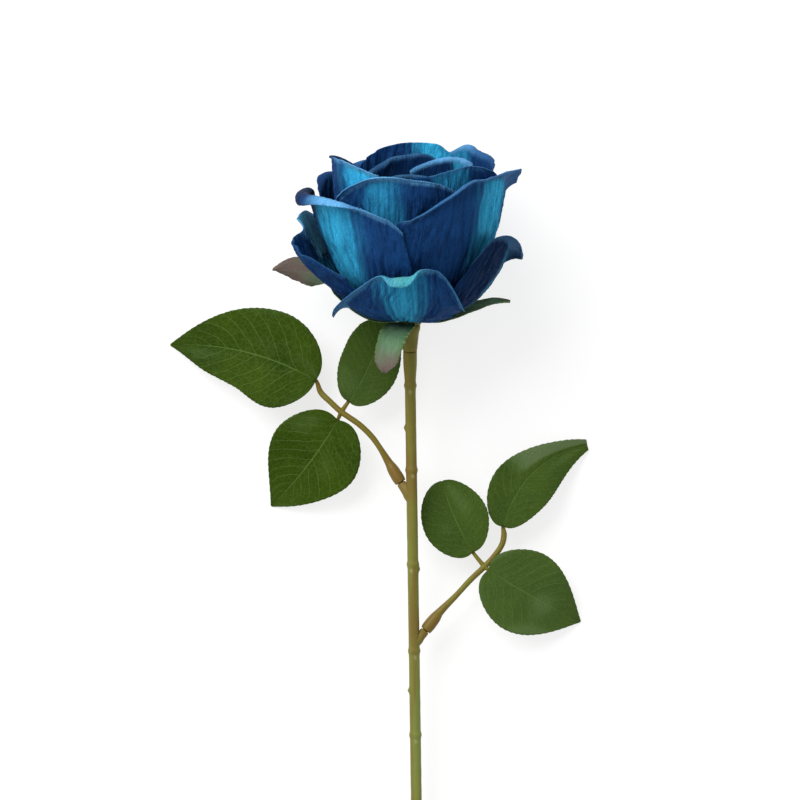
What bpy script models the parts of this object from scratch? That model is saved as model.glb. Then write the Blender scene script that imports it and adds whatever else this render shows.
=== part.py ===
"""A single artificial rose, cut-stem length, lying on a table.

The flower head is a plastic peg on which stiffened fabric petals and green sepals are threaded, layer by
layer. The peg plugs onto a plastic stem with a steel wire in it, and two moulded twigs with three fabric
leaves each plug onto short stubs of the stem. Sizes are in millimetres, and are turned into metres where a
mesh is made. The origin is the middle of the footprint on the table, +Y runs along the stem towards the
flower, and +Z is up.
"""

import math

import bmesh
import bpy
from mathutils import Matrix, Vector

MM = 0.001

# Driving dimensions.
HEAD_BASE = Vector((12.5, 180.0, 30.5))  # the middle of the flower's base
HEAD_TILT = math.radians(18.0)  # the head looks up a little from the table
STEM_RADIUS = 2.2
STEM_TOP = -14.0  # along the head's axis, where the stem's spigot starts
STEM_END = Vector((5.5, -430.0, -28.4))  # from the head base to the cut end
BORE_RADIUS = 1.0  # of the stem, around its wire
FABRIC = 0.6  # petal thickness
LEAF_THICKNESS = 0.7
GAP = 0.3  # between pieces that touch

# The head's own directions: along its axis, towards its upper side, and across.
AXIS = Vector((0.0, math.cos(HEAD_TILT), math.sin(HEAD_TILT)))
UPPER = Vector((0.0, -math.sin(HEAD_TILT), math.cos(HEAD_TILT)))
ACROSS = Vector((1.0, 0.0, 0.0))
UP = Vector((0.0, 0.0, 1.0))


def clear_scene():
    for obj in list(bpy.data.objects):
        bpy.data.objects.remove(obj)


def material(name, colour, roughness, metallic=0.0):
    made = bpy.data.materials.new(name)
    made.use_nodes = True
    shader = made.node_tree.nodes["Principled BSDF"]
    shader.inputs["Base Color"].default_value = (*colour, 1.0)
    shader.inputs["Roughness"].default_value = roughness
    shader.inputs["Metallic"].default_value = metallic
    made.diffuse_color = (*colour, 1.0)
    return made


def mesh_object(name, bm, finish, smooth_angle=None):
    mesh = bpy.data.meshes.new(name)
    bm.to_mesh(mesh)
    bm.free()
    if smooth_angle:
        mesh.shade_smooth()
        mesh.set_sharp_from_angle(angle=smooth_angle)
    obj = bpy.data.objects.new(name, mesh)
    bpy.context.scene.collection.objects.link(obj)
    mesh.materials.append(finish)
    return obj


def head_point(radius, azimuth, height):
    """A point of the head: azimuth 0 is its upper side, and it grows towards +X."""
    across = ACROSS * (radius * math.sin(azimuth))
    upper = UPPER * (radius * math.cos(azimuth))
    return HEAD_BASE + across + upper + AXIS * height


def bezier(points, t):
    """The point at t, from 0 to 1, of a cubic curve with four control points."""
    a, b, c, d = (Vector(p) for p in points)
    s = 1.0 - t
    return a * s**3 + b * (3 * s * s * t) + c * (3 * s * t * t) + d * t**3


def along(points, steps=48):
    """A function from arc length to (point, direction) on a cubic curve, straight past its ends."""
    dots = [bezier(points, i / steps) for i in range(steps + 1)]
    marks = [0.0]
    for one, two in zip(dots, dots[1:]):
        marks.append(marks[-1] + (two - one).length)

    def at(length):
        i = 0
        while i < steps - 1 and marks[i + 1] < length:
            i += 1
        share = (length - marks[i]) / (marks[i + 1] - marks[i])
        return dots[i] + (dots[i + 1] - dots[i]) * share, (dots[i + 1] - dots[i]).normalized()

    return at


def smooth_value(points, x):
    """The value at x of a smooth curve through points of (place, value)."""
    last = len(points) - 1
    i = 0
    while i < last - 1 and points[i + 1][0] < x:
        i += 1

    def slope(k):
        (x0, y0), (x1, y1) = points[max(k - 1, 0)], points[min(k + 1, last)]
        return (y1 - y0) / (x1 - x0)

    (x0, y0), (x1, y1) = points[i], points[i + 1]
    gap = x1 - x0
    t = (x - x0) / gap
    ends = y0 * (1 + 2 * t) * (1 - t) ** 2 + y1 * t * t * (3 - 2 * t)
    return ends + gap * t * (1 - t) * (slope(i) * (1 - t) - slope(i + 1) * t)


def fade(low, high, x):
    """A soft step from 0 at low to 1 at high."""
    t = min(1.0, max(0.0, (x - low) / (high - low)))
    return t * t * (3 - 2 * t)


def sheet_object(name, surface, columns, rows, thickness, finish):
    """A closed thin solid around surface(u, v), with u from -1 to 1 across and v a list of places along."""
    bm = bmesh.new()
    grid = [
        [bm.verts.new(surface(-1 + 2 * i / columns, v) * MM) for i in range(columns + 1)]
        for v in rows
    ]
    for low, high in zip(grid, grid[1:]):
        for i in range(columns):
            bm.faces.new((low[i], low[i + 1], high[i + 1], high[i]))
    obj = mesh_object(name, bm, finish, math.radians(60))
    wall = obj.modifiers.new("thickness", "SOLIDIFY")
    wall.thickness = thickness * MM
    wall.offset = 0.0
    wall.use_even_offset = False
    return obj


def tube_object(name, points, radii, sides, finish):
    """A round bar with closed ends through the points, with a radius at each."""
    bm = bmesh.new()
    points = [Vector(p) for p in points]
    rings = []
    for i, (point, radius) in enumerate(zip(points, radii)):
        way = (points[min(i + 1, len(points) - 1)] - points[max(i - 1, 0)]).normalized()
        side = way.cross(UP).normalized()
        over = side.cross(way)
        turns = [2 * math.pi * k / sides for k in range(sides)]
        ring = [point + (side * math.cos(a) + over * math.sin(a)) * radius for a in turns]
        rings.append([bm.verts.new(p * MM) for p in ring])
    for low, high in zip(rings, rings[1:]):
        for k in range(sides):
            bm.faces.new((low[k], low[(k + 1) % sides], high[(k + 1) % sides], high[k]))
    bm.faces.new(rings[0])
    bm.faces.new(rings[-1])
    bmesh.ops.recalc_face_normals(bm, faces=bm.faces)
    return mesh_object(name, bm, finish, math.radians(40))


def turned_object(name, profile, sides, finish):
    """A turned piece on the head's axis, from a profile of (radius, height) that starts and ends on it."""
    bm = bmesh.new()
    verts = [bm.verts.new((r * MM, 0.0, h * MM)) for r, h in profile]
    edges = [bm.edges.new(pair) for pair in zip(verts, verts[1:])]
    turn = dict(cent=(0, 0, 0), axis=(0, 0, 1), angle=2 * math.pi, steps=sides, use_merge=True)
    bmesh.ops.spin(bm, geom=verts + edges, **turn)
    bmesh.ops.remove_doubles(bm, verts=bm.verts, dist=1e-6)
    bmesh.ops.recalc_face_normals(bm, faces=bm.faces)
    turned = UP.rotation_difference(AXIS).to_matrix().to_4x4()
    place = Matrix.Translation(HEAD_BASE * MM) @ turned
    bmesh.ops.transform(bm, matrix=place, verts=bm.verts)
    return mesh_object(name, bm, finish, math.radians(40))


def combine(obj, tool, operation):
    """Joins the tool to the object, or cuts it away, and leaves the tool as a hidden guide."""
    tool.hide_render = True
    tool.display_type = "WIRE"
    boolean = obj.modifiers.new(operation.lower(), "BOOLEAN")
    boolean.operation = operation
    boolean.object = tool


# Petals. Each layer is nested in the one before it. profile: the petal's middle line, as (radius, height).
# length and widths: of the flat petal, with a width for its left and one for its right side. lip: the width
# of the rim that is rolled outwards.
PETAL_LAYERS = {
    "skirt": dict(
        profile=[(4.8, 1), (21, 2), (33.5, 11), (40, 35)], length=50, widths=(46, 46), lip=8,
        curls=[(-1, 3.2), (1, 3.2)],
    ),
    "outer": dict(
        profile=[(4.8, 4), (20, 5.5), (31, 17), (36, 50)], length=70, widths=(66, 66), lip=8,
        curls=[(-1, 2.8), (1, 2.8)],
    ),
    "middle": dict(
        profile=[(4.8, 7), (18, 10), (28, 26), (30, 64)], length=72, widths=(58, 58), lip=4,
        curls=[(-1, 2.2), (1, 2.2)],
    ),
    "inner": dict(
        profile=[(4.8, 10), (15, 12), (23, 32), (22, 58)], length=59, widths=(54, 54), lip=2.5,
        curls=[(-1, 1.8), (1, 1.8)],
    ),
    "heart": dict(
        profile=[(4.8, 13), (10, 16), (17, 34), (14, 60)], length=53, widths=(42, 42), lip=2,
        curls=[(-1, 1.6), (1, 1.6)],
    ),
    "bud": dict(
        profile=[(4.2, 16), (6.6, 22), (10, 40), (6.5, 58)], length=45, widths=(27, 27), lip=1,
        curls=[(-1, 1.5), (1, 1.5)],
    ),
}
CLAW = 2.4  # half the width where a petal is threaded on the peg
PETAL_SHOULDER = 0.72  # the place along a petal, of 1, where it is widest
PETAL_WAIST = 1.25  # how narrow it stays below that
STAND_START = 0.06  # and where its edges have come away from the peg
EDGE_BEND = 1.3  # how much of that stand is left for the edges themselves

# What a petal has where its own line says nothing else. Each pair is for its left and its right side.
# stands: how far the edge stands out, so that a negative one is tucked under its neighbour. falls: how far
# the rim falls at the corner, as a share of the length, and corners: how square that is.
# Each list goes along the rim, from -1 at the left corner to 1 at the right one. lips: how much of the lip
# is rolled, and curls: the radius it is rolled to. rise: how much higher the rim is, and lean: how far it
# leans outwards.
PETAL_USUAL = dict(
    stands=(-1.2, 1.2), falls=(0.28, 0.28), corners=(3, 3), lips=[(-1, 0), (0, 1), (1, 1)],
    rise=[(-1, 0), (1, 0)], lean=[(-1, 0), (1, 0)],
)


def petal_surface(
    azimuth, profile, length, widths, lip, curls, stands, falls, corners, lips, rise, lean
):
    """surface(u, v) of one petal, in millimetres."""
    line = along([(r, h, 0.0) for r, h in profile])
    turned = math.radians(azimuth)

    def surface(u, v):
        side = 1 if u > 0 else 0
        width = 0.5 * sum(widths) + 0.5 * (widths[1] - widths[0]) * math.sin(0.5 * math.pi * u)
        reach = length * (1.0 - falls[side] * abs(u) ** corners[side]) + smooth_value(rise, u)
        rolled_width = lip * max(0.0, smooth_value(lips, u))
        out = v * length - v * v * (length - reach)
        into_lip = max(0.0, out - reach + rolled_width)
        curl = smooth_value(curls, u)
        rolled = curl * (1.0 - math.cos(into_lip / curl))
        out = min(out, reach - rolled_width) + curl * math.sin(into_lip / curl)
        place, way = line(out)
        spread = math.sin(0.5 * math.pi * min(1.0, v / PETAL_SHOULDER)) ** PETAL_WAIST
        across = u * (CLAW + (0.5 * width - CLAW) * spread)
        stand = stands[side] * abs(u) ** EDGE_BEND * min(1.0, v / STAND_START) + rolled
        stand += smooth_value(lean, u) * fade(0.45, 1.0, v)
        radius = place.x + way.y * stand
        height = place.y - way.x * stand
        return head_point(radius, turned + across / place.x, height)

    return surface


# The skirt's front petal is short and flared, and those at its sides stand up along the outer ones.
SKIRT_FRONT = [(4.8, 1), (20, 3.4), (31, 9.5), (36, 28)]
BACK_LIPS = [(-1, 0), (0, 1), (1, 0.1)]


def level(rise):
    return [(-1, rise), (1, rise)]


# name: (layer, azimuth, changes)
PETALS = {
    "skirt_petal_front": ("skirt", -7, dict(
        profile=SKIRT_FRONT, stands=(1.2, 1.2), widths=(60, 47),
        lips=[(-1, 0.75), (-0.7, 0.4), (-0.2, 0.8), (0.14, 1), (0.35, 0.45), (0.7, 0.3), (1, 0.6)],
        curls=[(-1, 4), (-0.5, 3.2), (1, 3.2)],
        rise=[(-1, -11), (-0.5, -9.4), (-0.25, -4.4), (0, -0.6), (0.5, -1.2), (0.75, -3.5), (1, -7)],
        lean=[(-1, 3), (-0.6, 0.5), (0.6, 0), (1, 1)],
    )),
    "skirt_petal_right": ("skirt", 78, dict(
        length=58, widths=(54, 54), lips=[(-1, 0), (-0.3, 0.7), (0.3, 1.3), (1, 1)],
        rise=[(-1, 5), (-0.75, 5), (-0.5, 2.8), (0, -2), (0.5, -4), (1, -4)],
    )),
    "skirt_petal_back_right": ("skirt", 148, dict(lips=BACK_LIPS)),
    "skirt_petal_back_left": ("skirt", 214, dict(lips=BACK_LIPS)),
    "skirt_petal_left": ("skirt", 277, dict(
        stands=(-1.4, -1.4), length=61, widths=(54, 54), lips=[(-1, 0.3), (0.1, 0.2), (1, 0.2)],
        rise=[(-1, 0), (-0.25, -1.5), (0, -6), (0.3, -6.5), (1, -4)],
        lean=[(-1, 0), (0, 1.5), (0.3, 7), (0.6, 6), (1, 0)],
    )),
    "outer_petal_front_left": ("outer", -57, dict(
        stands=(1.2, 1.2), falls=(-0.01, 0.22), corners=(1, 4), length=67, widths=(63, 64),
        lips=[(-1, 1.4), (-0.4, 1.25), (0.3, 0.6), (1, 0.2)],
        rise=[(-1, 1.6), (-0.4, 3.4), (0.05, 0.3), (0.35, -2), (0.63, -1.8), (1, 2.5)],
        lean=[(-1, 3), (-0.5, 2.6), (0, 0), (1, 0)],
    )),
    "outer_petal_front_right": ("outer", 45, dict(
        falls=(0.28, 0.04), corners=(1.6, 5), length=76,
        lips=[(-1, 0), (-0.5, 0.45), (0.3, 0.6), (0.6, 1.1), (1, 1.8)],
        curls=[(-1, 1.6), (-0.2, 2), (0.3, 3), (0.6, 6), (1, 9)],
        rise=[(-1, 2.5), (-0.8, 0), (-0.2, 1.2), (0.25, -0.5), (0.75, 1.5), (1, 0)],
    )),
    "outer_petal_back_right": ("outer", 135, dict(
        length=66, lips=[(-1, 0), (-0.45, 0), (0, 0.9), (1, 0.4)],
        rise=[(-1, -6), (-0.5, -6), (0, 0), (1, 0)],
    )),
    "outer_petal_back_left": ("outer", 222, dict(
        stands=(-1.4, -1.4), lips=[(-1, 0), (0, 1), (1, 0)], length=68,
        rise=[(-1, 0), (-0.6, 2), (-0.25, 2.6), (0.2, 0), (1, 0)],
    )),
    "middle_petal_front": ("middle", -12, dict(
        stands=(1.2, 1.2), length=70, widths=(64, 64),
        lips=[(-1, 0.6), (-0.5, 1), (0, 0.9), (0.4, 0.5), (1, 0.2)],
        rise=[(-1, -1.5), (-0.65, -4), (-0.25, -1.8), (0.25, -3.3), (0.5, -3.3), (1, 0)],
    )),
    "middle_petal_right": ("middle", 58, dict(
        length=70, falls=(0.07, 0.1), corners=(1.3, 2), lips=[(-1, 0), (0, 0.5), (1, 0.8)],
        rise=[(-1, 1.4), (-0.5, 0.4), (0, -2.2), (0.5, -7), (1, -7)],
        lean=[(-1, 0), (-0.1, 0.3), (0.25, 2.2), (1, 3)],
    )),
    "middle_petal_back_right": ("middle", 122, dict(
        length=69, rise=[(-1, -2), (-0.25, -2.6), (0.25, 0.3), (0.5, -1.6), (1, -1)],
        lean=[(-1, 0), (-0.8, 0.3), (-0.5, 2.5), (-0.2, 2), (0.1, 0), (1, 0)],
    )),
    "middle_petal_back_left": ("middle", 184, dict(
        stands=(-1.2, -1.2), lips=level(0), length=68, rise=[(-1, 0), (-0.5, -0.4), (0, -2), (1, -2)],
    )),
    "middle_petal_left": ("middle", 280, dict(
        stands=(1.2, -1.4), falls=(0.1, 0.1), corners=(3, 1.6), length=70,
        lips=[(-1, 1), (-0.3, 0.8), (0, 0.5), (0.4, 0.15), (1, 0)],
        rise=[(-1, -2), (-0.25, -2), (0.25, 0.5), (0.5, 2), (1, 3.5)],
    )),
    "inner_petal_1": ("inner", 20, dict(rise=level(-3))),
    "inner_petal_2": ("inner", 110, dict(
        lip=3.6, falls=(0.28, 0.24), lips=[(-1, 0), (-0.3, 0.9), (0.6, 0.8), (1, 1)],
        rise=[(-1, 0), (0.5, 0), (0.75, 2), (1, 7)],
    )),
    "inner_petal_3": ("inner", 200, dict(rise=[(-1, 0), (-0.6, 0.8), (0, -3), (0.5, -8), (1, -8)])),
    "inner_petal_4": ("inner", 290, dict(rise=level(-4))),
    "heart_petal_1": ("heart", 60, dict(rise=level(-4))),
    "heart_petal_2": ("heart", 180, dict(rise=level(-9))),
    "heart_petal_3": ("heart", 300, dict(rise=level(-7))),
    "bud_petal_1": ("bud", 0, dict(rise=level(-6))),
    "bud_petal_2": ("bud", 120, dict(rise=level(-6))),
    "bud_petal_3": ("bud", 240, dict(rise=level(-6))),
}
PETAL_COLUMNS = {"skirt": 14, "outer": 14, "middle": 14, "inner": 10, "heart": 8, "bud": 8}
PETAL_ROWS = [0.0, 0.09, 0.19, 0.3, 0.44, 0.6, 0.77, 0.88, 0.94, 1.0]
TIGHT_PETAL_ROWS = [0.0, 0.1, 0.22, 0.38, 0.58, 0.8, 1.0]  # of the layers with hardly a lip


def add_petals(finish):
    for name, (layer, azimuth, changes) in PETALS.items():
        surface = petal_surface(azimuth, **{**PETAL_USUAL, **PETAL_LAYERS[layer], **changes})
        rows = TIGHT_PETAL_ROWS if layer in ("inner", "heart", "bud") else PETAL_ROWS
        sheet_object(name, surface, PETAL_COLUMNS[layer], rows, FABRIC, finish)


# Sepals. profile: the middle line, as (radius, height). The two behind lie close, so as to clear the table.
# claw: half the width at the peg. shoulder: where a sepal is widest, of its length. twist: how many degrees
# it has turned by its tip.
SEPAL_USUAL = dict(claw=1.9, shoulder=0.45, twist=0)
SEPAL_BACK = [(4.8, -1.4), (16, -4), (26, -3), (34, 4)]
SEPALS = {
    "sepal_front": dict(
        profile=[(4.8, -1.4), (15, 0.5), (22, -2), (27, -15)], azimuth=-21, length=31, width=15.5,
        claw=4.5, shoulder=0.3,
    ),
    "sepal_right": dict(
        profile=[(4.8, -1.4), (18, -4), (28, 5), (40, 3.5)], azimuth=104, length=37, width=11
    ),
    "sepal_back_right": dict(profile=SEPAL_BACK, azimuth=154, length=32, width=11),
    "sepal_back_left": dict(profile=SEPAL_BACK, azimuth=205, length=32, width=11),
    "sepal_left": dict(
        profile=[(4.8, -1.4), (30, -5), (28, 22), (57, 18)], azimuth=256, length=60, width=14, twist=80
    ),
}
SEPAL_TAPER = 0.8  # the share of a sepal's width that is lost from its shoulder to its tip
TWIST_START = 0.5
TWIST_END = 0.75
SEPAL_ROWS = [0.0, 0.12, 0.25, 0.38, 0.5, 0.58, 0.66, 0.75, 0.88, 0.96, 1.0]


def sepal_surface(profile, azimuth, length, width, claw, shoulder, twist):
    line = along([(r, h, 0.0) for r, h in profile])

    def surface(u, v):
        place, way = line(v * length)
        below = math.sin(0.5 * math.pi * min(1.0, v / shoulder))
        above = max(0.0, (v - shoulder) / (1.0 - shoulder))
        half = claw + (0.5 * width - claw) * below * (1.0 - SEPAL_TAPER * above**1.6)
        half *= math.sqrt(1.0 - fade(0.82, 1.02, v))
        turn = math.radians(twist) * fade(TWIST_START, TWIST_END, v)
        flat, raised = u * half * math.cos(turn), u * half * math.sin(turn)
        radius, height = place.x - way.y * raised, place.y + way.x * raised
        return head_point(radius, math.radians(azimuth) + flat / place.x, height)

    return surface


def add_sepals(finish):
    for name, sizes in SEPALS.items():
        surface = sepal_surface(**{**SEPAL_USUAL, **sizes})
        sheet_object(name, surface, 4, SEPAL_ROWS, FABRIC, finish)


# The peg that carries every petal, with a blind hole for the stem's spigot, and the cup below it.
PEG_RADIUS = 4.5
PEG_FOOT = -2.4
PEG_STEP = 14.6  # above it the peg is thinner
PEG_CORE = 3.6  # its radius there
PEG_SHOULDER = 30.0
PEG_TOP = 42.0
SPIGOT_RADIUS = 1.5
SPIGOT_TOP = 6.0
CUP_RADIUS = 4.1
CUP_FOOT_RADIUS = 2.85
ROUND_SIDES = 16


def add_peg_and_cup(green, pale):
    hole = SPIGOT_RADIUS + GAP
    peg = [(0, SPIGOT_TOP + GAP), (hole, SPIGOT_TOP + GAP), (hole, PEG_FOOT), (PEG_RADIUS, PEG_FOOT)]
    peg += [(PEG_RADIUS, PEG_STEP), (PEG_CORE, PEG_STEP), (PEG_CORE, PEG_SHOULDER)]
    peg += [(0.75 * PEG_CORE, 0.5 * (PEG_SHOULDER + PEG_TOP)), (0, PEG_TOP)]
    turned_object("petal_peg", peg, ROUND_SIDES, pale)
    top = PEG_FOOT - GAP
    foot = STEM_TOP + GAP
    cup = [(hole, top), (hole, foot), (CUP_FOOT_RADIUS, foot), (CUP_FOOT_RADIUS + 0.3, foot + 3)]
    cup += [(CUP_RADIUS, top - 1.5), (CUP_RADIUS, top), (hole, top)]
    turned_object("calyx_cup", cup, ROUND_SIDES, green)


def stem_line():
    """The stem's middle line, from its spigot's shoulder to the cut end, as a cubic curve."""
    top = HEAD_BASE + AXIS * STEM_TOP
    end = HEAD_BASE + STEM_END
    return [top, top - AXIS * 26.0, top + Vector((2.6, -150.0, -15.0)), end]


# The stem's radius at places down it from its top. Below the last one it is even, but for rings where a
# leaf would have grown.
STEM_NECK = {0.0: 2.75, 6.0: 2.7, 10.0: 2.35}
NODE_PLACES = [14.0, 48.0, 86.0, 121.0, 155.0, 192.0, 231.0, 266.0, 305.0, 342.0, 380.0]
NODE_RISE = 0.35
NODE_HALF = 1.6
# The run of the wire in the stem.
WIRE_START = 16.0
WIRE_STEPS = 10

# Each twig's stub on the stem: how far down the stem, the direction it points in, and how far the twig's
# socket starts from the stem's middle line.
STUBS = {
    "left": dict(place=60.5, way=Vector((-0.52, 0.86, -0.1)).normalized(), reach=8.7),
    "right": dict(place=118.5, way=Vector((0.62, 0.78, -0.1)).normalized(), reach=7.4),
}
STUB_RADIUS = 1.9
PIN_RADIUS = 1.2
PIN_LENGTH = 6.3
SOCKET_RADIUS = 2.5


def add_stem(green, steel):
    at = along(stem_line(), 200)
    length = NODE_PLACES[-1]
    while at(length)[0].y > HEAD_BASE.y + STEM_END.y:
        length += GAP
    marks = dict(STEM_NECK)
    for place in NODE_PLACES:
        marks.update({place - NODE_HALF: STEM_RADIUS, place + NODE_HALF: STEM_RADIUS})
        marks[place] = STEM_RADIUS + NODE_RISE
    marks[0.5 * (NODE_PLACES[0] + NODE_PLACES[1])] = STEM_RADIUS
    marks[length] = STEM_RADIUS
    spigot = [HEAD_BASE + AXIS * SPIGOT_TOP, HEAD_BASE + AXIS * (STEM_TOP + 0.01)]
    places = sorted(marks)
    points = spigot + [at(place)[0] for place in places]
    radii = [SPIGOT_RADIUS, SPIGOT_RADIUS] + [marks[place] for place in places]
    stem = tube_object("stem", points, radii, 10, green)
    for side, stub in STUBS.items():
        root = at(stub["place"])[0]
        shoulder = stub["reach"] - GAP
        reaches = [0.0, shoulder, shoulder + 0.01, shoulder + PIN_LENGTH]
        line = [root + stub["way"] * t for t in reaches]
        radii = [STUB_RADIUS, STUB_RADIUS, PIN_RADIUS, PIN_RADIUS]
        combine(stem, tube_object("guide_stub_" + side, line, radii, 10, green), "UNION")
    shares = [(i / WIRE_STEPS) ** 1.4 for i in range(WIRE_STEPS + 1)]  # closer where the stem bends
    wire = [at(WIRE_START + (length - WIRE_START) * share)[0] for share in shares]
    bore = wire[:-1] + [wire[-1] + (wire[-1] - wire[-2]).normalized()]
    deeper = [wire[0] - (wire[1] - wire[0]).normalized() * GAP] + bore
    combine(stem, tube_object("guide_bore", deeper, [BORE_RADIUS] * len(deeper), 8, green), "DIFFERENCE")
    tube_object("stem_wire", wire, [BORE_RADIUS - GAP] * len(wire), 8, steel)


# Leaves. base and tip: from the head base, but with z above the table. bow: how far the midrib swings
# to its left. arch: how far it rises. width: at the widest place, which is full, of 1, along the leaf.
# sides: how wide its left and its right half are, as shares. point: below 1 the tip is rounder.
# lobe: how far the base reaches back past the stalk.
LEAF_USUAL = dict(sides=(1, 1), point=1.0)
LEAVES = {
    "left_end_leaf": dict(
        base=(-38.0, -24.8, 12.5), tip=(-97.2, -10.4, 0.4), bow=-4.4, arch=3.0, width=38, full=0.34,
        lobe=7,
    ),
    "left_upper_leaf": dict(
        base=(-24.6, -33.2, 13.5), tip=(-10.5, 0.0, 12.0), bow=-2.0, arch=1.5, width=23, full=0.4,
        lobe=3, point=0.7,
    ),
    "left_lower_leaf": dict(
        base=(-29.2, -40.9, 12.2), tip=(-56.2, -75.8, 0.4), bow=3.2, arch=2.0, width=36, full=0.4,
        lobe=6,
    ),
    "right_end_leaf": dict(
        base=(37.6, -83.6, 10.5), tip=(72.0, -51.0, 0.6), bow=7.2, arch=3.0, width=28, full=0.4,
        lobe=4, sides=(0.65, 0.8),
    ),
    "right_upper_leaf": dict(
        base=(25.2, -94.0, 11.5), tip=(13.0, -65.6, 7.5), bow=1.2, arch=1.0, width=25, full=0.46,
        lobe=4, point=0.5,
    ),
    "right_lower_leaf": dict(
        base=(31.6, -101.2, 12.8), tip=(69.2, -122.8, 0.4), bow=-0.5, arch=2.5, width=33, full=0.4,
        lobe=7,
    ),
}
LEAF_FOLD = 0.1  # the rise of a leaf's edges, as a share of its half width
LEAF_ROWS = [0.0, 0.03, 0.08, 0.16, 0.26, 0.4, 0.54, 0.68, 0.82, 0.93, 1.0]
LEAF_BASE_POWER = 0.6  # below 1 the base is round
LEAF_CLAW = 0.9  # half the width at the leaf's base
LEAF_TIP = 0.5  # and at its tip
RIB_SHARES = [0.0, 0.1, 0.2, 0.31, 0.42]  # where the twig's rib passes under the leaf
RIB_RADIUS = 0.6
RIB_END = 0.3


def leaf_place(point):
    return Vector((HEAD_BASE.x + point[0], HEAD_BASE.y + point[1], point[2]))


def leaf_midrib(leaf):
    """A function from 0..1 to (point, direction, side) along the leaf's midrib."""
    base, tip = leaf_place(leaf["base"]), leaf_place(leaf["tip"])
    flat = Vector((tip.x - base.x, tip.y - base.y, 0.0)).normalized()
    left = UP.cross(flat)
    middle = 0.5 * (base + tip) + left * (2 * leaf["bow"]) + UP * (2 * leaf["arch"])

    def at(v):
        s = 1.0 - v
        point = base * (s * s) + middle * (2 * s * v) + tip * (v * v)
        way = ((middle - base) * s + (tip - middle) * v).normalized()
        return point, way, way.cross(UP).normalized()

    return at


def leaf_surface(leaf):
    leaf = {**LEAF_USUAL, **leaf}
    midrib = leaf_midrib(leaf)

    def surface(u, v):
        point, way, side = midrib(v)
        full = leaf["full"]
        place = 0.5 * v / full if v < full else 0.5 + 0.5 * (v - full) / (1 - full)
        power = LEAF_BASE_POWER if v < full else leaf["point"]
        half = 0.5 * leaf["width"] * abs(math.sin(math.pi * place)) ** power
        half *= leaf["sides"][1 if u > 0 else 0]
        half += LEAF_CLAW + (LEAF_TIP - LEAF_CLAW) * v
        back = way * (leaf["lobe"] * u * u * 2.0 * half / leaf["width"] * (1.0 - v) ** 5)
        return point - back + side * (u * half) + side.cross(way) * (LEAF_FOLD * half * abs(u) ** 1.4)

    return surface


def add_leaves(finish):
    for name, leaf in LEAVES.items():
        sheet_object(name, leaf_surface(leaf), 6, LEAF_ROWS, LEAF_THICKNESS, finish)


def rib_points(name):
    """The run of a twig's branch along the underside of its leaf."""
    midrib = leaf_midrib(LEAVES[name])
    below = 0.5 * LEAF_THICKNESS + GAP + RIB_RADIUS + 0.15
    points = []
    for share in RIB_SHARES:
        point, way, side = midrib(share)
        points.append(point - side.cross(way) * below)
    return points


# Twigs. route: from the socket to the fork, from the head base with z above the table.
# end_route: from the fork to the end leaf.
TWIGS = {
    "left": dict(
        route=[(-11.8, -52.4, 16.6), (-15.4, -47.4, 15.8), (-20.4, -42.6, 14.9), (-27.6, -37.6, 13.3)],
        end_route=[(-32.0, -33.6, 12.1), (-36.0, -29.6, 10.6)],
    ),
    "right": dict(
        route=[(18.6, -111.4, 13.2), (24.4, -105.2, 12.0), (30.0, -100.0, 10.8)],
        end_route=[(34.0, -95.8, 10.0), (37.2, -91.0, 9.4), (38.0, -87.0, 8.9)],
    ),
}
TWIG_RADIUS = 1.2
TWIG_NECK = 1.7  # just past the socket
BRANCH_RADII = [1.0, 0.8, 0.7, RIB_RADIUS, RIB_RADIUS, RIB_END]
RIB_RADII = [1.0, 0.8, RIB_RADIUS, RIB_RADIUS, RIB_END]


def add_twigs(finish):
    at = along(stem_line(), 200)
    for side, twig in TWIGS.items():
        stub = STUBS[side]
        root = at(stub["place"])[0]
        mouth = root + stub["way"] * stub["reach"]
        socket = [mouth + stub["way"] * t for t in (0, 2, PIN_LENGTH, PIN_LENGTH + 3)]
        route = [leaf_place(p) for p in twig["route"]]
        end = [leaf_place(p) for p in twig["end_route"]] + rib_points(side + "_end_leaf")
        line = socket + route + end
        radii = [SOCKET_RADIUS * 0.9, SOCKET_RADIUS, SOCKET_RADIUS * 0.92, TWIG_NECK]
        radii += [TWIG_RADIUS] * (len(line) - len(radii) - len(RIB_RADII)) + RIB_RADII
        body = tube_object(side + "_twig", line, radii, 10, finish)
        for where in ("upper", "lower"):
            branch = [route[-1]] + rib_points(side + "_" + where + "_leaf")
            guide = tube_object("guide_" + side + "_" + where, branch, BRANCH_RADII, 8, finish)
            combine(body, guide, "UNION")
        hole = [mouth + stub["way"] * t for t in (-1, PIN_LENGTH)]
        cutter = tube_object("guide_socket_" + side, hole, [PIN_RADIUS + GAP] * 2, 10, finish)
        combine(body, cutter, "DIFFERENCE")


def main():
    clear_scene()
    petal_cloth = material("petal_cloth", (0.01, 0.05, 0.16), 0.7)
    leaf_cloth = material("leaf_cloth", (0.05, 0.09, 0.015), 0.6)
    sepal_cloth = material("sepal_cloth", (0.06, 0.14, 0.08), 0.7)
    stem_plastic = material("stem_plastic", (0.14, 0.15, 0.04), 0.5)
    peg_plastic = material("peg_plastic", (0.4, 0.42, 0.36), 0.5)
    wire_steel = material("wire_steel", (0.5, 0.5, 0.5), 0.35, 1.0)
    add_petals(petal_cloth)
    add_sepals(sepal_cloth)
    add_peg_and_cup(stem_plastic, peg_plastic)
    add_stem(stem_plastic, wire_steel)
    add_leaves(leaf_cloth)
    add_twigs(stem_plastic)


main()
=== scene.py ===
import math
from bisect import bisect_right

import bmesh
import bpy
from mathutils import Matrix, Vector, noise


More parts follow.
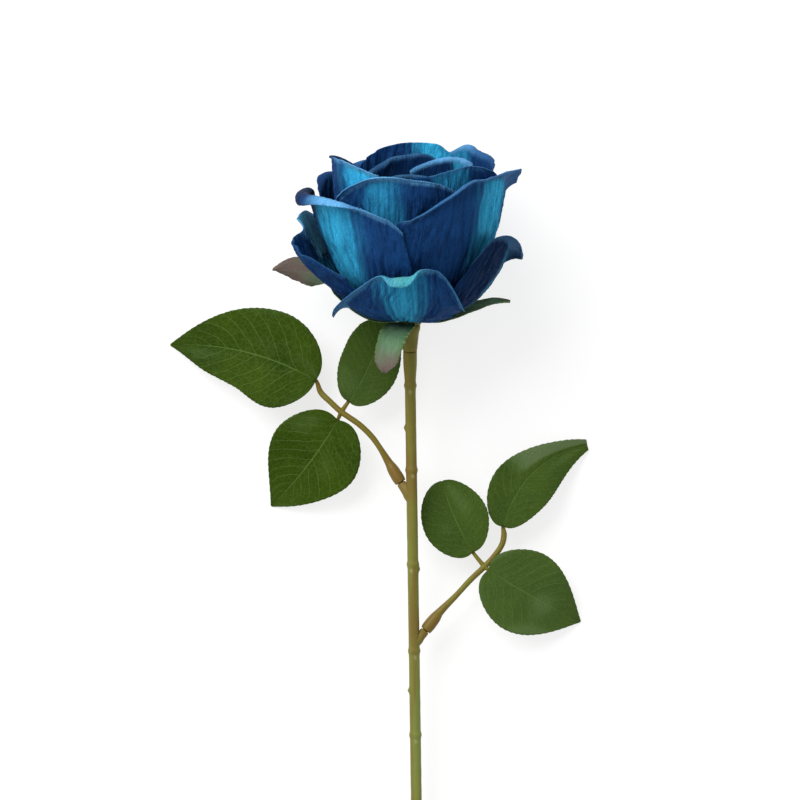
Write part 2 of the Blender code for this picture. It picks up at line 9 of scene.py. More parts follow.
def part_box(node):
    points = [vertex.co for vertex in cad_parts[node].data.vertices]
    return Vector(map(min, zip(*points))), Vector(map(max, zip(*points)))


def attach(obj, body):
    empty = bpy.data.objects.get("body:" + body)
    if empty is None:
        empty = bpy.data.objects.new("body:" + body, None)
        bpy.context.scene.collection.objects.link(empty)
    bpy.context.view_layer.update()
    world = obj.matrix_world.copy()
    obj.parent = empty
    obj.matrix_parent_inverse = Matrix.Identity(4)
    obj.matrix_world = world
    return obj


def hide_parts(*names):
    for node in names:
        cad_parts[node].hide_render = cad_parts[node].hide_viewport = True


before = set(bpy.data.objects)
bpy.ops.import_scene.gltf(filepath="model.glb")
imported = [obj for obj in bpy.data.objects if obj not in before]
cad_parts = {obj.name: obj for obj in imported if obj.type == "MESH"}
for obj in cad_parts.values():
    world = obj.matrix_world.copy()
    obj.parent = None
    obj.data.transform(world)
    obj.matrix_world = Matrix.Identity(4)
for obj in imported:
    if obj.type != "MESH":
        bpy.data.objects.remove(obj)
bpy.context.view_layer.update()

# The rose's head: cloth petals and sepals threaded on a moulded peg, which plugs on the stem and looks up
# a little from the table. The peg's foot gives the head's place, and every piece is set out from there.
MM = 0.001
HEAD_TILT = math.radians(18.0)
PEG_RADIUS = 4.5
PEG_FOOT = -2.4  # along the head's axis
AXIS = Vector((0.0, math.cos(HEAD_TILT), math.sin(HEAD_TILT)))
UPPER = Vector((0.0, -math.sin(HEAD_TILT), math.cos(HEAD_TILT)))
ACROSS = Vector((1.0, 0.0, 0.0))
UP = Vector((0.0, 0.0, 1.0))

peg_low, peg_high = (Vector(corner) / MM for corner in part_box("petal_peg"))
HEAD = Vector((0.5 * (peg_low.x + peg_high.x), peg_low.y, peg_low.z))
HEAD += (PEG_RADIUS * math.sin(HEAD_TILT) - PEG_FOOT * math.cos(HEAD_TILT)) * Vector((0, 1, 0))
HEAD += (PEG_RADIUS * math.cos(HEAD_TILT) - PEG_FOOT * math.sin(HEAD_TILT)) * UP


def head_point(radius, azimuth, height):
    """A point of the head: azimuth 0 is its upper side, and it grows towards +X."""
    around = ACROSS * math.sin(azimuth) + UPPER * math.cos(azimuth)
    return HEAD + around * radius + AXIS * height


# The petals: twenty-four pieces of stiffened satin in six layers, die-cut, dyed and heat-pressed, and
# threaded on the peg. Each is navy, with a bright blue-green band brushed down its middle and a paler
# blue on its rolled lip; that paler blue is partly painted highlight. Petals that lie in shade are darkened
# with painted shade. Pressing leaves fine creases that fan out, and their colour is partly painted shade.
NAVY = (0.007, 0.036, 0.13, 1.0)
# painted shade: the darker navy that shaded petals are mixed to, and darker dye in places
NAVY_SHADE_AND_DYE = (0.002, 0.011, 0.042, 1.0)
NAVY_LIGHT = (0.01, 0.062, 0.21, 1.0)
BAND = (0.045, 0.5, 0.84, 1.0)
# partly painted highlight: the paler blues of the rolled lips are partly a pale rim, partly light falling
# on them
PALE_LIP_AND_HIGHLIGHT = (0.13, 0.4, 0.74, 1.0)
TEAL_LIP_AND_HIGHLIGHT = (0.09, 0.42, 0.42, 1.0)
SHEEN_BLUE = (0.45, 0.75, 1.0, 1.0)


def new_material(name):
    """A new material, with its node tree and its shader."""
    made = bpy.data.materials.new(name)
    made.use_nodes = True
    return made, made.node_tree, made.node_tree.nodes["Principled BSDF"]


def node(tree, kind, inputs, **settings):
    """Adds a node. Each input is a number, a colour, or another node's output."""
    made = tree.nodes.new("ShaderNode" + kind)
    for name, value in settings.items():
        setattr(made, name, value)
    for name, value in inputs.items():
        if isinstance(value, bpy.types.NodeSocket):
            tree.links.new(value, made.inputs[name])
        else:
            made.inputs[name].default_value = value
    return made


def arithmetic(tree, operation, *values):
    """What a Math node makes of the values, as an output."""
    return node(tree, "Math", dict(enumerate(values)), operation=operation).outputs[0]


def share_of(tree, value, low, high, to_low=0.0, to_high=1.0):
    """value, taken from low..high to to_low..to_high."""
    ranges = {"Value": value, "From Min": low, "From Max": high, "To Min": to_low, "To Max": to_high}
    return node(tree, "MapRange", ranges, clamp=True).outputs["Result"]


def mix(tree, share, one, two, blend="MIX"):
    """A mix of two colours, as an output."""
    made = node(tree, "Mix", {0: share, 6: one, 7: two}, data_type="RGBA", blend_type=blend)
    return made.outputs[2]


def vertex_shade(tree, name):
    """The shade of that name, which the mesh's vertices carry, as an output."""
    return node(tree, "Attribute", {}, attribute_name=name).outputs["Fac"]


def cloth_map(tree):
    """The places on the cloth's own map, as an output."""
    return node(tree, "UVMap", {}, uv_map="cloth").outputs["UV"]


def stretched_noise(tree, across, along_it, detail=3.0):
    """Noise on the cloth's own map, in streaks that run along the piece."""
    scaled = node(tree, "Mapping", {"Vector": cloth_map(tree), "Scale": (across, along_it, 1.0)})
    sizes = {"Vector": scaled.outputs["Vector"], "Scale": 1.0, "Detail": detail}
    return node(tree, "TexNoise", sizes).outputs["Fac"]


def even_noise(tree, scale, detail=2.0):
    """Noise of an even size all over, from the object's own coordinates."""
    place = node(tree, "TexCoord", {}).outputs["Object"]
    return node(tree, "TexNoise", {"Vector": place, "Scale": scale, "Detail": detail}).outputs["Fac"]


def relief(tree, height, distance, below=None):
    """A bump of that height, in millimetres, on top of another one."""
    inputs = {"Height": height, "Distance": distance * MM, "Strength": 1.0}
    if below:
        inputs["Normal"] = below
    return node(tree, "Bump", inputs).outputs["Normal"]


def speckled(tree, colour, grain, spread):
    """The colour, made darker and lighter by that share with the grain."""
    speck = share_of(tree, grain, 0.3, 0.7, 1.0 - spread, 1.0 + spread)
    grey = node(tree, "CombineColor", {0: speck, 1: speck, 2: speck}).outputs[0]
    return mix(tree, 1.0, colour, grey, "MULTIPLY")


petal_cloth, tree, shader = new_material("petal_cloth")
streaks = stretched_noise(tree, 46.0, 2.4)
creases = stretched_noise(tree, 78.0, 9.0, 4.0)
grain = even_noise(tree, 2600.0)
clouds = even_noise(tree, 70.0)
band = vertex_shade(tree, "band")
ground = mix(tree, share_of(tree, clouds, 0.35, 0.65), NAVY, NAVY_LIGHT)
# partly print and partly painted shade: the navy is lighter on the creases' ridges and darker in their
# hollows
ground = mix(tree, share_of(tree, creases, 0.45, 0.62, 0.0, 0.7), ground, NAVY_LIGHT)
# painted shade, with darker dye in places: the navy is mixed towards a darker navy by the vertices' shade
# value
ground = mix(tree, vertex_shade(tree, "painted_shade_and_dye"), ground, NAVY_SHADE_AND_DYE)
brushed = arithmetic(tree, "MULTIPLY", band, share_of(tree, streaks, 0.3, 0.6, 0.55, 1.1))
colour = mix(tree, brushed, ground, BAND)
# partly painted highlight: the lip is mixed to a paler blue, partly a pale rim and partly painted light
colour = mix(tree, vertex_shade(tree, "lip"), colour, mix(tree, band, PALE_LIP_AND_HIGHLIGHT, TEAL_LIP_AND_HIGHLIGHT))
tree.links.new(speckled(tree, colour, grain, 0.3), shader.inputs["Base Color"])
tree.links.new(share_of(tree, creases, 0.3, 0.7, 0.5, 0.68), shader.inputs["Roughness"])
tree.links.new(relief(tree, grain, 0.07, relief(tree, creases, 1.4)), shader.inputs["Normal"])
shader.inputs["Sheen Weight"].default_value = 0.02
shader.inputs["Sheen Roughness"].default_value = 0.4
shader.inputs["Sheen Tint"].default_value = SHEEN_BLUE
shader.inputs["Specular IOR Level"].default_value = 0.03


def even(value):
    """The same value all along a rim."""
    return [(-1, value), (1, value)]


# The layers, from the outside in. profile: a petal's middle line, as (radius, height) in the head. length:
# of the flat petal. widths: twice its left half and twice its right half. lip: the width of the rim that
# is rolled outwards. curls: the radius it is rolled to. grid: the columns and rows of the petal's mesh.
PETAL_THICKNESS = 0.4
PETAL_LAYERS = {
    "skirt": dict(
        profile=[(4.8, 1), (21, 2), (33.5, 11), (40, 35)], length=50, widths=(46, 46), lip=8,
        curls=even(3.2), grid=(92, 92),
    ),
    "outer": dict(
        profile=[(4.8, 4), (20, 5.5), (31, 17), (36, 50)], length=70, widths=(66, 66), lip=8,
        curls=even(2.8), grid=(96, 96),
    ),
    "middle": dict(
        profile=[(4.8, 7), (18, 10), (28, 26), (30, 64)], length=72, widths=(58, 58), lip=4,
        curls=even(2.2), grid=(92, 92),
    ),
    "inner": dict(
        profile=[(4.8, 10), (15, 12), (23, 32), (22, 58)], length=59, widths=(54, 54), lip=2.5,
        curls=even(1.8), grid=(60, 60),
    ),
    "heart": dict(
        profile=[(4.8, 13), (10, 16), (17, 34), (14, 60)], length=53, widths=(42, 42), lip=2,
        curls=even(1.6), grid=(50, 50),
    ),
    "bud": dict(
        profile=[(4.2, 16), (6.6, 22), (10, 40), (6.5, 58)], length=45, widths=(27, 27), lip=1,
        curls=even(1.5), grid=(40, 46),
    ),
}
SKIRT_FRONT = [(4.8, 1), (20, 3.4), (31, 9.5), (36, 28)]

# Each petal: its layer, its azimuth, and its changes. stands: how far each side stands out, or is tucked
# under its neighbour where it is negative. falls and corners: how far the rim falls at each side, and how
# square that corner is. band: the middle, the half width and the strength of the dyed band. teal: how
# blue-green a pale lip is. Then the petal's painted shade: how far the whole petal is darkened with painted
# shade. Along the rim, from the left side at -1 to the right at 1, are given its rise, its lean outwards,
# the radius its lip is rolled to (curls), the share of the lip that is rolled (lips), and how pale the lip
# is (pale), a paleness that is partly painted highlight: below 0, how much darker the cloth is painted
# there, partly as darker dye and partly as painted shade.
PETALS = {
    "skirt_petal_front": ("skirt", -7, dict(
        profile=SKIRT_FRONT, stands=(1.2, 1.2), widths=(60, 47), band=(0.06, 0.24, 0.66), teal=1.5,
        lips=[(-1, 1.3), (-0.75, 0.75), (-0.5, 0.4), (-0.25, 0.5), (-0.08, 1), (0.14, 1), (0.35, 0.45),
              (0.7, 0.3), (1, 0.6)],
        curls=[(-1, 5.5), (-0.5, 3.2), (1, 3.2)],
        pale=[(-0.4, 0.35), (-0.1, 0.78), (0.25, 0.8), (0.5, 0.3)],
        rise=[(-1, -8.4), (-0.75, -10.6), (-0.5, -9.6), (-0.25, -4.8), (0, -0.8), (0.25, -1.6),
              (0.45, -1.6), (0.65, -1.1), (0.85, -3.4), (1, -7)],
        lean=[(-1, 0.4), (-0.7, 0.4), (-0.4, 0), (0.6, 0), (1, 1)],
    )),
    # painted shade: this petal is darkened for the shadow that falls between it and its neighbours
    "skirt_petal_right": ("skirt", 78, dict(
        length=58, widths=(54, 54), curls=[(-1, 3), (0, 3.2), (1, 3.2)], band=(0, 0.15, 0.3), painted_shade_and_dye=0.75,
        lips=[(-1, 0), (-0.3, 0.7), (0, 1.1), (0.3, 1.3), (1, 1)], pale=[(-1, 0.1), (0, 0.35), (1, 0.35)],
        rise=[(-1, 5), (-0.75, 5), (-0.5, 2.8), (-0.25, 0), (0, -2), (0.25, -3), (0.5, -4), (1, -4)],
    )),
    "skirt_petal_back_right": ("skirt", 148, dict(lips=[(-1, 0), (0, 1), (1, 0.1)])),
    "skirt_petal_back_left": ("skirt", 214, dict(lips=[(-1, 0), (0, 1), (1, 0.1)])),
    # painted light: this petal's wide pale lip lightens a side that lies in shade
    "skirt_petal_left": ("skirt", 277, dict(
        stands=(-1.4, -1.4), length=61, widths=(54, 46), band=(-0.5, 0.2, 0.3), teal=0.25, painted_shade_and_dye=0.15,
        lips=[(-1, 2.7), (-0.35, 2.4), (-0.15, 0.7), (0.1, 0.2), (1, 0.2)],
        curls=[(-1, 42), (-0.3, 38), (0.1, 3.2), (1, 3.2)],
        rise=[(-1, 4), (-0.75, 4.4), (-0.5, 1.4), (-0.35, -1), (-0.22, -3), (-0.1, -6.2), (0.05, -6.2),
              (0.3, -5.8), (0.5, -6), (1, -4)],
        lean=[(-1, -2.8), (-0.75, -3.2), (-0.5, -2.6), (-0.25, 0.2), (-0.12, 1.2), (0.05, 4.5), (0.3, 8),
              (0.6, 7), (0.85, 3), (1, 0)],
        pale=[(-1, 1), (-0.25, 1), (0, 0.25), (1, 0.2)],
    )),
    "outer_petal_front_left": ("outer", -57, dict(
        stands=(1.2, 1.2), falls=(-0.01, 0.22), corners=(1, 4), length=67, widths=(63, 64),
        band=(0, 0.3, 0.95),
        pale=[(-1, -0.9), (-0.5, -0.7), (-0.25, 0.2), (0, 1), (0.5, 1), (1, 0.5)],
        lips=[(-1, 1.4), (-0.4, 1.25), (-0.1, 1.05), (0, 0.98), (0.25, 0.85), (0.5, 0.6), (0.75, 0.4),
              (1, 0.2)],
        rise=[(-1, 1.6), (-0.4, 3.4), (-0.15, 3.3), (0, 2.8), (0.25, 1.7), (0.5, -0.4), (0.75, -0.5),
              (0.92, 1.8), (1, 2.5)],
        lean=[(-1, 3), (-0.5, 2.6), (0, 0), (1, 0)],
    )),
    "outer_petal_front_right": ("outer", 45, dict(
        stands=(-1.2, 0), falls=(0.28, 0.12), corners=(1.6, 6), length=76, band=(0.37, 0.28, 0.95),
        lips=[(-1, 0), (-0.85, 0.3), (-0.5, 0.45), (0, 0.5), (0.3, 0.6), (0.6, 1.2), (1, 1.45)],
        curls=[(-1, 1.6), (-0.2, 2), (0.3, 3), (0.6, 7), (1, 11)],
        rise=[(-1, 2.5), (-0.8, 0), (-0.45, 0.4), (-0.2, 1.2), (0, -0.6), (0.25, -0.5), (0.5, 1),
              (0.8, 0.9), (1, 0)],
    )),
    "outer_petal_back_right": ("outer", 135, dict(
        length=66,
        lips=[(-1, 0), (-0.45, 0), (0, 0.9), (1, 0.4)],
        rise=[(-1, -6), (-0.5, -6), (-0.25, -4), (0, 0), (1, 0)],
    )),
    "outer_petal_back_left": ("outer", 222, dict(
        stands=(-1.4, -1.4), length=68,
        lips=[(-1, 0), (0, 1), (1, 0)], pale=[(-1, 0.3), (0, 0.1), (0.3, -0.3), (1, -0.3)],
        rise=[(-1, 0), (-0.6, 2), (-0.25, 2.6), (0.1, 0.8), (0.27, 1), (0.45, 0.4), (0.6, -0.7), (1, 0)],
    )),
    "middle_petal_front": ("middle", -12, dict(
        stands=(1.2, 1.2), length=70, widths=(64, 64), band=(-0.15, 0.2, 0.5),
        lips=[(-1, 0.6), (-0.5, 1), (0, 0.9), (0.4, 0.5), (1, 0.2)], pale=[(-1, 0.8), (0, 1), (1, 0.5)],
        rise=[(-1, -1.5), (-0.75, -4), (-0.5, -3.6), (-0.25, -1.8), (0, -1.7), (0.25, -3.3), (0.5, -3.3),
              (0.75, -2), (1, 0)],
    )),
    "middle_petal_right": ("middle", 58, dict(
        falls=(0.07, 0.1), corners=(1.3, 2), length=70, band=(-0.45, 0.25, 0.5),
        lips=[(-1, 0), (0, 0.5), (1, 0.8)], lean=[(-1, 0), (-0.1, 0.3), (0.25, 2.2), (1, 3)],
        rise=[(-1, 1.4), (-0.75, 0.3), (-0.5, 0.4), (-0.25, -0.1), (0, -2.2), (0.25, -4.6), (0.5, -7),
              (1, -7)],
    )),
    "middle_petal_back_right": ("middle", 122, dict(
        length=69, band=(0.35, 0.14, 0.5),
        pale=[(-1, 0.1), (0, 0.2), (0.3, 0.7), (1, 0.6)],
        rise=[(-1, -2), (-0.5, -2.5), (-0.25, -2.6), (0, -1.6), (0.25, 0.3), (0.5, -1.6), (1, -1)],
        lean=[(-1, 0), (-0.8, 0.3), (-0.5, 2.5), (-0.2, 2), (0.1, 0), (1, 0)],
    )),
    "middle_petal_back_left": ("middle", 184, dict(
        stands=(-1.2, -1.2), length=68, band=(-0.4, 0.22, 1.05), lips=even(0),
        rise=[(-1, 0), (-0.5, -0.2), (-0.25, -1.6), (0, -2), (0.4, -3), (1, -3)],
    )),
    "middle_petal_left": ("middle", 280, dict(
        stands=(1.2, -1.4), falls=(0.1, 0.1), corners=(3, 1.6), length=70, band=(0.86, 0.38, 1.05),
        lips=[(-1, 1), (-0.3, 0.8), (0, 0.5), (0.4, 0.45), (0.8, 0.45), (1, 0.3)],
        pale=[(-1, -0.6), (-0.3, -0.5), (0, 0.2), (0.25, 0.9), (1, 0.9)],
        rise=[(-1, -2), (-0.25, -2), (0, -1.2), (0.25, 0.5), (0.5, 2), (0.75, 3), (1, 3.5)],
    )),
    "inner_petal_1": ("inner", 20, dict(rise=even(-3))),
    "inner_petal_2": ("inner", 110, dict(
        stands=(-1.2, -1.6), falls=(0.28, 0.24), lip=3.6, painted_shade_and_dye=0.5,
        lips=[(-1, 0), (-0.3, 0.9), (0.6, 0.8), (1, 1)], pale=[(-1, 0.3), (0, 0.9), (1, 1)],
        rise=[(-1, 0), (0, 0), (0.5, 0), (0.75, 2), (1, 7)],
    )),
    "inner_petal_3": ("inner", 200, dict(
        stands=(0.8, 1.2), band=(0, 0.1, 0), painted_shade_and_dye=0.6,
        rise=[(-1, 0), (-0.6, 0.8), (-0.25, -2), (0, -3), (0.25, -6), (0.5, -8), (1, -8)],
    )),
    "inner_petal_4": ("inner", 290, dict(rise=even(-4))),
    "heart_petal_1": ("heart", 60, dict(rise=even(-4))),
    "heart_petal_2": ("heart", 180, dict(band=(0, 0.1, 0), painted_shade_and_dye=0.8, rise=even(-9))),
    "heart_petal_3": ("heart", 300, dict(painted_shade_and_dye=0.5, rise=even(-7))),
    "bud_petal_1": ("bud", 0, dict(rise=even(-6))),
    "bud_petal_2": ("bud", 120, dict(rise=even(-6))),
    "bud_petal_3": ("bud", 240, dict(rise=even(-6))),
}
PETAL_USUAL = dict(
    stands=(-1.2, 1.2), falls=(0.28, 0.28), corners=(3, 3), band=(0.0, 0.2, 0.7), teal=0.0, painted_shade_and_dye=0.0,
    lips=[(-1, 0), (0, 1), (1, 1)], rise=even(0), lean=even(0), pale=even(0.3),
)
CLAW = 2.4  # half the width where a petal is threaded on the peg
PETAL_SHOULDER = 0.72  # the place along a petal, of 1, where it is widest
PETAL_WAIST = 1.25  # how narrow it stays below that
STAND_START = 0.06  # where its sides have come away from the peg
EDGE_BEND = 1.3  # the power by which a side's stand grows towards its edge
CREASE = 0.95  # the creases' depth
CREASE_GAP = 2.6  # between two creases, at the widest place
RUFFLE = 0.7  # how far the rim waves
BAND_STRAY = 0.16  # how far the band's brushed edge strays, of half a petal's width


def along(a, b, c, d, steps=160):
    """A function from arc length to (point, direction) on a cubic curve with those control points."""
    a, b, c, d = (Vector(p).to_3d() for p in (a, b, c, d))
    points, ways, marks = [], [], [0.0]
    for i in range(steps + 1):
        t = i / steps
        s = 1.0 - t
        points.append(a * s**3 + b * (3 * s * s * t) + c * (3 * s * t * t) + d * t**3)
        ways.append(((b - a) * (s * s) + (c - b) * (2 * s * t) + (d - c) * (t * t)).normalized())
        if i:
            marks.append(marks[-1] + (points[-1] - points[-2]).length)

    def at(length):
        i = min(max(bisect_right(marks, length) - 1, 0), steps - 1)
        share = (length - marks[i]) / (marks[i + 1] - marks[i])
        way = ways[i].lerp(ways[i + 1], min(1.0, share))
        return points[i] + (points[i + 1] - points[i]) * share, way

    return at


def smooth_value(points, x):
    """The value at x of a smooth curve through points of (place, value)."""
    last = len(points) - 1
    i = min(max(bisect_right([p[0] for p in points], x) - 1, 0), last - 1)

    def slope(k):
        (x0, y0), (x1, y1) = points[max(k - 1, 0)], points[min(k + 1, last)]
        return (y1 - y0) / (x1 - x0)

    (x0, y0), (x1, y1) = points[i], points[i + 1]
    gap = x1 - x0
    t = (x - x0) / gap
    ends = y0 * (1 + 2 * t) * (1 - t) ** 2 + y1 * t * t * (3 - 2 * t)
    return ends + gap * t * (1 - t) * (slope(i) * (1 - t) - slope(i + 1) * t)


def fade(low, high, x):
    """A soft step from 0 at low to 1 at high."""
    t = min(1.0, max(0.0, (x - low) / (high - low)))
    return t * t * (3 - 2 * t)


def petal_surface(
    seed, profile, length, widths, lip, curls, stands, falls, corners, lips, rise, lean, band, pale, teal,
    painted_shade_and_dye
):
    """place_vertex(azimuth, u, v) of one petal, with its shades: the dyed band, the lip, which is partly
    painted highlight, and the dark, which is painted shade with darker dye in places.
    """
    line = along(*profile)

    def place_vertex(azimuth, u, v):
        # the flat petal, its rows closer together towards the rim, and the start of its lip
        v = v * (1.3 - 0.3 * v)
        side = 1 if u > 0 else 0
        width = 0.5 * sum(widths) + 0.5 * (widths[1] - widths[0]) * math.sin(0.5 * math.pi * u)
        reach = length * (1.0 - falls[side] * abs(u) ** corners[side]) + smooth_value(rise, u)
        rolled_width = lip * max(0.0, smooth_value(lips, u)) + 0.01
        out = v * length - v * v * (length - reach)
        from_lip = out - reach + rolled_width
        into_lip = max(0.0, from_lip)

        # how far out along the profile the vertex comes, and how far across, once the lip is rolled
        curl = smooth_value(curls, u)
        rolled = curl * (1.0 - math.cos(into_lip / curl))
        out = min(out, reach - rolled_width) + curl * math.sin(into_lip / curl)
        place, way = line(out)
        spread = math.sin(0.5 * math.pi * min(1.0, v / PETAL_SHOULDER)) ** PETAL_WAIST
        flat = u * (CLAW + (0.5 * width - CLAW) * spread)

        # how far it stands off the profile: its side's stand, the lip, the creases, the ruffle, the lean
        waver = noise.noise(Vector((u * 3.0, v * 6.0, seed)))
        crease = noise.noise(Vector((u * 0.5 * width / CREASE_GAP + 1.2 * waver, v * 4.5, seed)))
        crease = (1.0 - 2.2 * abs(crease)) * fade(0.06, 0.3, v) * (1.0 - 0.6 * fade(0.0, 2.0, into_lip))
        ruffle = noise.noise(Vector((u * 2.2, v * 1.5, seed + 7.0))) * fade(0.5, 1.0, v)
        stand = stands[side] * abs(u) ** EDGE_BEND * min(1.0, v / STAND_START) + rolled
        stand += CREASE * crease + RUFFLE * ruffle + smooth_value(lean, u) * fade(0.45, 1.0, v)
        radius = place.x + way.y * stand
        height = place.y - way.x * stand
        point = head_point(radius, azimuth + flat / place.x, height)

        # its shades: the band ends at the lip, where paleness takes over, partly as painted highlight;
        # below 0, paleness adds painted shade and darker dye to the petal's painted shade
        edge = BAND_STRAY * noise.noise(Vector((u * 16.0, v * 1.8, seed + 3.0))) + 0.05 * waver
        dyed = band[2] * (1.0 - fade(0.3 * band[1], 1.8 * band[1], abs(u - band[0] + edge)))
        paleness = smooth_value(pale, min(max(u, pale[0][0]), pale[-1][0]))
        # below 0, the paleness becomes painted shade and darker dye
        lightness, dye_and_painted_shade = max(0.0, paleness), max(0.0, -paleness)
        dyed += (teal * lightness**3 - dyed) * fade(-1.0, 2.0, from_lip)
        light = lightness * (0.85 + 0.6 * waver) * fade(-0.6, 1.4, from_lip)
        return point, dyed, min(1.0, light), min(1.0, painted_shade_and_dye + dye_and_painted_shade)

    return place_vertex


def finish_piece(name, bm, material, slot, *nodes):
    """Makes the mesh an object of the rose, in its place, with its finish, and standing for its nodes."""
    mesh = bpy.data.meshes.new(name)
    bm.to_mesh(mesh)
    bm.free()
    mesh.shade_smooth()
    mesh.materials.append(material)
    piece = bpy.data.objects.new(name, mesh)
    bpy.context.scene.collection.objects.link(piece)
    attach(piece, "root")
    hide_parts(*nodes)
    return piece


def cloth_bmesh(columns, rows, place_vertex, *shades):
    """A sheet with an even UV map. place_vertex(u, v), with u from -1 to 1 across and v from 0 to 1 along,
    gives each vertex its point, in millimetres, and its share of each shade."""
    bm = bmesh.new()
    bm.loops.layers.uv.new("cloth")
    bmesh.ops.create_grid(bm, x_segments=columns, y_segments=rows, size=1.0, calc_uvs=True)
    layers = [bm.verts.layers.float.new(shade) for shade in shades]
    for vert in bm.verts:
        point, *values = place_vertex(vert.co.x, 0.5 + 0.5 * vert.co.y)
        vert.co = point * MM
        for layer, value in zip(layers, values):
            vert[layer] = value
    bm.normal_update()
    return bm


def add_wall(piece, thickness):
    """Gives a sheet its thickness, half to each side."""
    wall = piece.modifiers.new("wall", "SOLIDIFY")
    wall.thickness = thickness * MM
    wall.offset = 0.0
    wall.use_even_offset = False


for index, (name, (layer, azimuth, changes)) in enumerate(PETALS.items()):
    shape = {**PETAL_USUAL, **PETAL_LAYERS[layer], **changes}
    columns, rows = shape.pop("grid")
    surface = petal_surface(10.0 * index, **shape)
    turned = math.radians(azimuth)
    bm = cloth_bmesh(columns, rows, lambda u, v: surface(turned, u, v), "band", "lip", "painted_shade_and_dye")
    petal = finish_piece(name + "_cloth", bm, petal_cloth, "petal_fabric", name)
    add_wall(petal, PETAL_THICKNESS)

# The sepals: five narrow tongues of green cloth under the skirt, stamped with frayed sides and printed
# from green to a dull mauve at the tip. The two behind lie close under the flower.
# claw: half the width at the peg. shoulder: the place along it, of 1, where it is widest. blush: the place
# where the mauve is nearly full. twist: how far its outer part is turned, in degrees.
SEPAL_THICKNESS = 0.4
SEPAL_GRID = (24, 96)
SEPAL_BACK = [(4.8, -1.4), (16, -4), (26, -3), (34, 4)]
SEPALS = {
    "sepal_front": dict(
        profile=[(4.8, -1.4), (15, 0.5), (22, -2), (27, -15)], azimuth=-21.5, length=29.4, width=12.2,
        blush=0.84, claw=3.6, shoulder=0.3,
    ),
    "sepal_right": dict(
        profile=[(4.8, -1.4), (18, -4), (28, 5), (40, 3.5)], azimuth=104, length=37, width=11, blush=1.1
    ),
    "sepal_back_right": dict(profile=SEPAL_BACK, azimuth=154, length=32, width=11, blush=0.8),
    "sepal_back_left": dict(profile=SEPAL_BACK, azimuth=205, length=32, width=11, blush=0.7),
    "sepal_left": dict(
        profile=[(4.8, -1.4), (30, -5), (28, 22), (57, 15.4)], azimuth=256, length=57, width=16,
        blush=0.76, twist=80,
    ),
}
SEPAL_USUAL = dict(claw=1.9, shoulder=0.45, twist=0)
SEPAL_TAPER = 0.8  # how much of its width it has lost at the tip
TWIST_START = 0.5
TWIST_END = 0.75
SEPAL_BOW = 0.9  # how far its sides are raised
SEPAL_FRAY = 0.5  # how deep its sides are frayed
SEPAL_GREEN = (0.085, 0.21, 0.095, 1.0)
SEPAL_PALE = (0.2, 0.31, 0.19, 1.0)
SEPAL_MAUVE = (0.142, 0.083, 0.082, 1.0)
SEPAL_THREAD = (0.42, 0.5, 0.36, 1.0)
SEPAL_SIDE = (0.085, 0.19, 0.055, 1.0)


def off_middle(tree):
    """How far a place lies from the cloth's middle line on its map, as an output: 0.5 at the sides."""
    across = node(tree, "SeparateXYZ", {"Vector": cloth_map(tree)}).outputs["X"]
    return arithmetic(tree, "ABSOLUTE", arithmetic(tree, "SUBTRACT", across, 0.5))


sepal_cloth, tree, shader = new_material("sepal_cloth")
threads = stretched_noise(tree, 40.0, 5.0)
grain = even_noise(tree, 2800.0)
colour = mix(tree, share_of(tree, threads, 0.4, 0.7), SEPAL_GREEN, SEPAL_PALE)
colour = mix(tree, share_of(tree, off_middle(tree), 0.28, 0.44), colour, SEPAL_SIDE)
colour = mix(tree, vertex_shade(tree, "blush"), colour, SEPAL_MAUVE)
colour = mix(tree, vertex_shade(tree, "frayed"), colour, SEPAL_THREAD)
colour = mix(tree, share_of(tree, grain, 0.35, 0.75, 0, 0.35), colour, SEPAL_PALE)
tree.links.new(colour, shader.inputs["Base Color"])
tree.links.new(relief(tree, grain, 0.05, relief(tree, threads, 0.25)), shader.inputs["Normal"])
shader.inputs["Roughness"].default_value = 0.75
shader.inputs["Specular IOR Level"].default_value = 0.1


def sepal_surface(seed, profile, azimuth, length, width, blush, claw, shoulder, twist):
    """place_vertex(u, v) of one sepal, with its shades: the mauve blush and the pale frayed threads."""
    line = along(*profile)

    def place_vertex(u, v):
        place, way = line(v * length)
        below = math.sin(0.5 * math.pi * min(1.0, v / shoulder))
        above = max(0.0, (v - shoulder) / (1.0 - shoulder))
        half = claw + (0.5 * width - claw) * below * (1.0 - SEPAL_TAPER * above**1.6)
        half *= math.sqrt(1.0 - fade(0.84, 1.01, v))
        side = 1.0 if u > 0 else -1.0
        fray = noise.noise(Vector((v * 34.0, side, seed))) * fade(0.05, 0.3, v)
        bow = SEPAL_BOW * abs(u) ** 2 * fade(0.1, 0.5, v) + 0.35 * noise.noise(Vector((u, v * 6.0, seed)))
        wrinkle = 0.12 * noise.noise(Vector((u * 6.0, v * 5.0, seed)))
        turn = math.radians(twist) * fade(TWIST_START, TWIST_END, v)
        across = u * half + side * SEPAL_FRAY * fray * abs(u)
        raised = (bow + wrinkle) * math.cos(turn) + across * math.sin(turn)
        flat = across * math.cos(turn) - (bow + wrinkle) * math.sin(turn)
        radius, height = place.x - way.y * raised, place.y + way.x * raised
        wavy = v + 0.12 * noise.noise(Vector((u * 2.0, v * 4.0, seed)))
        mauve = fade(blush - 0.3, blush + 0.12, wavy)
        pale_thread = 0.8 * fade(0.75, 1.0, abs(u)) * fade(0.0, 0.35, fray) * (1.0 - fade(0.45, 0.7, v))
        return head_point(radius, math.radians(azimuth) + flat / place.x, height), mauve, pale_thread

    return place_vertex


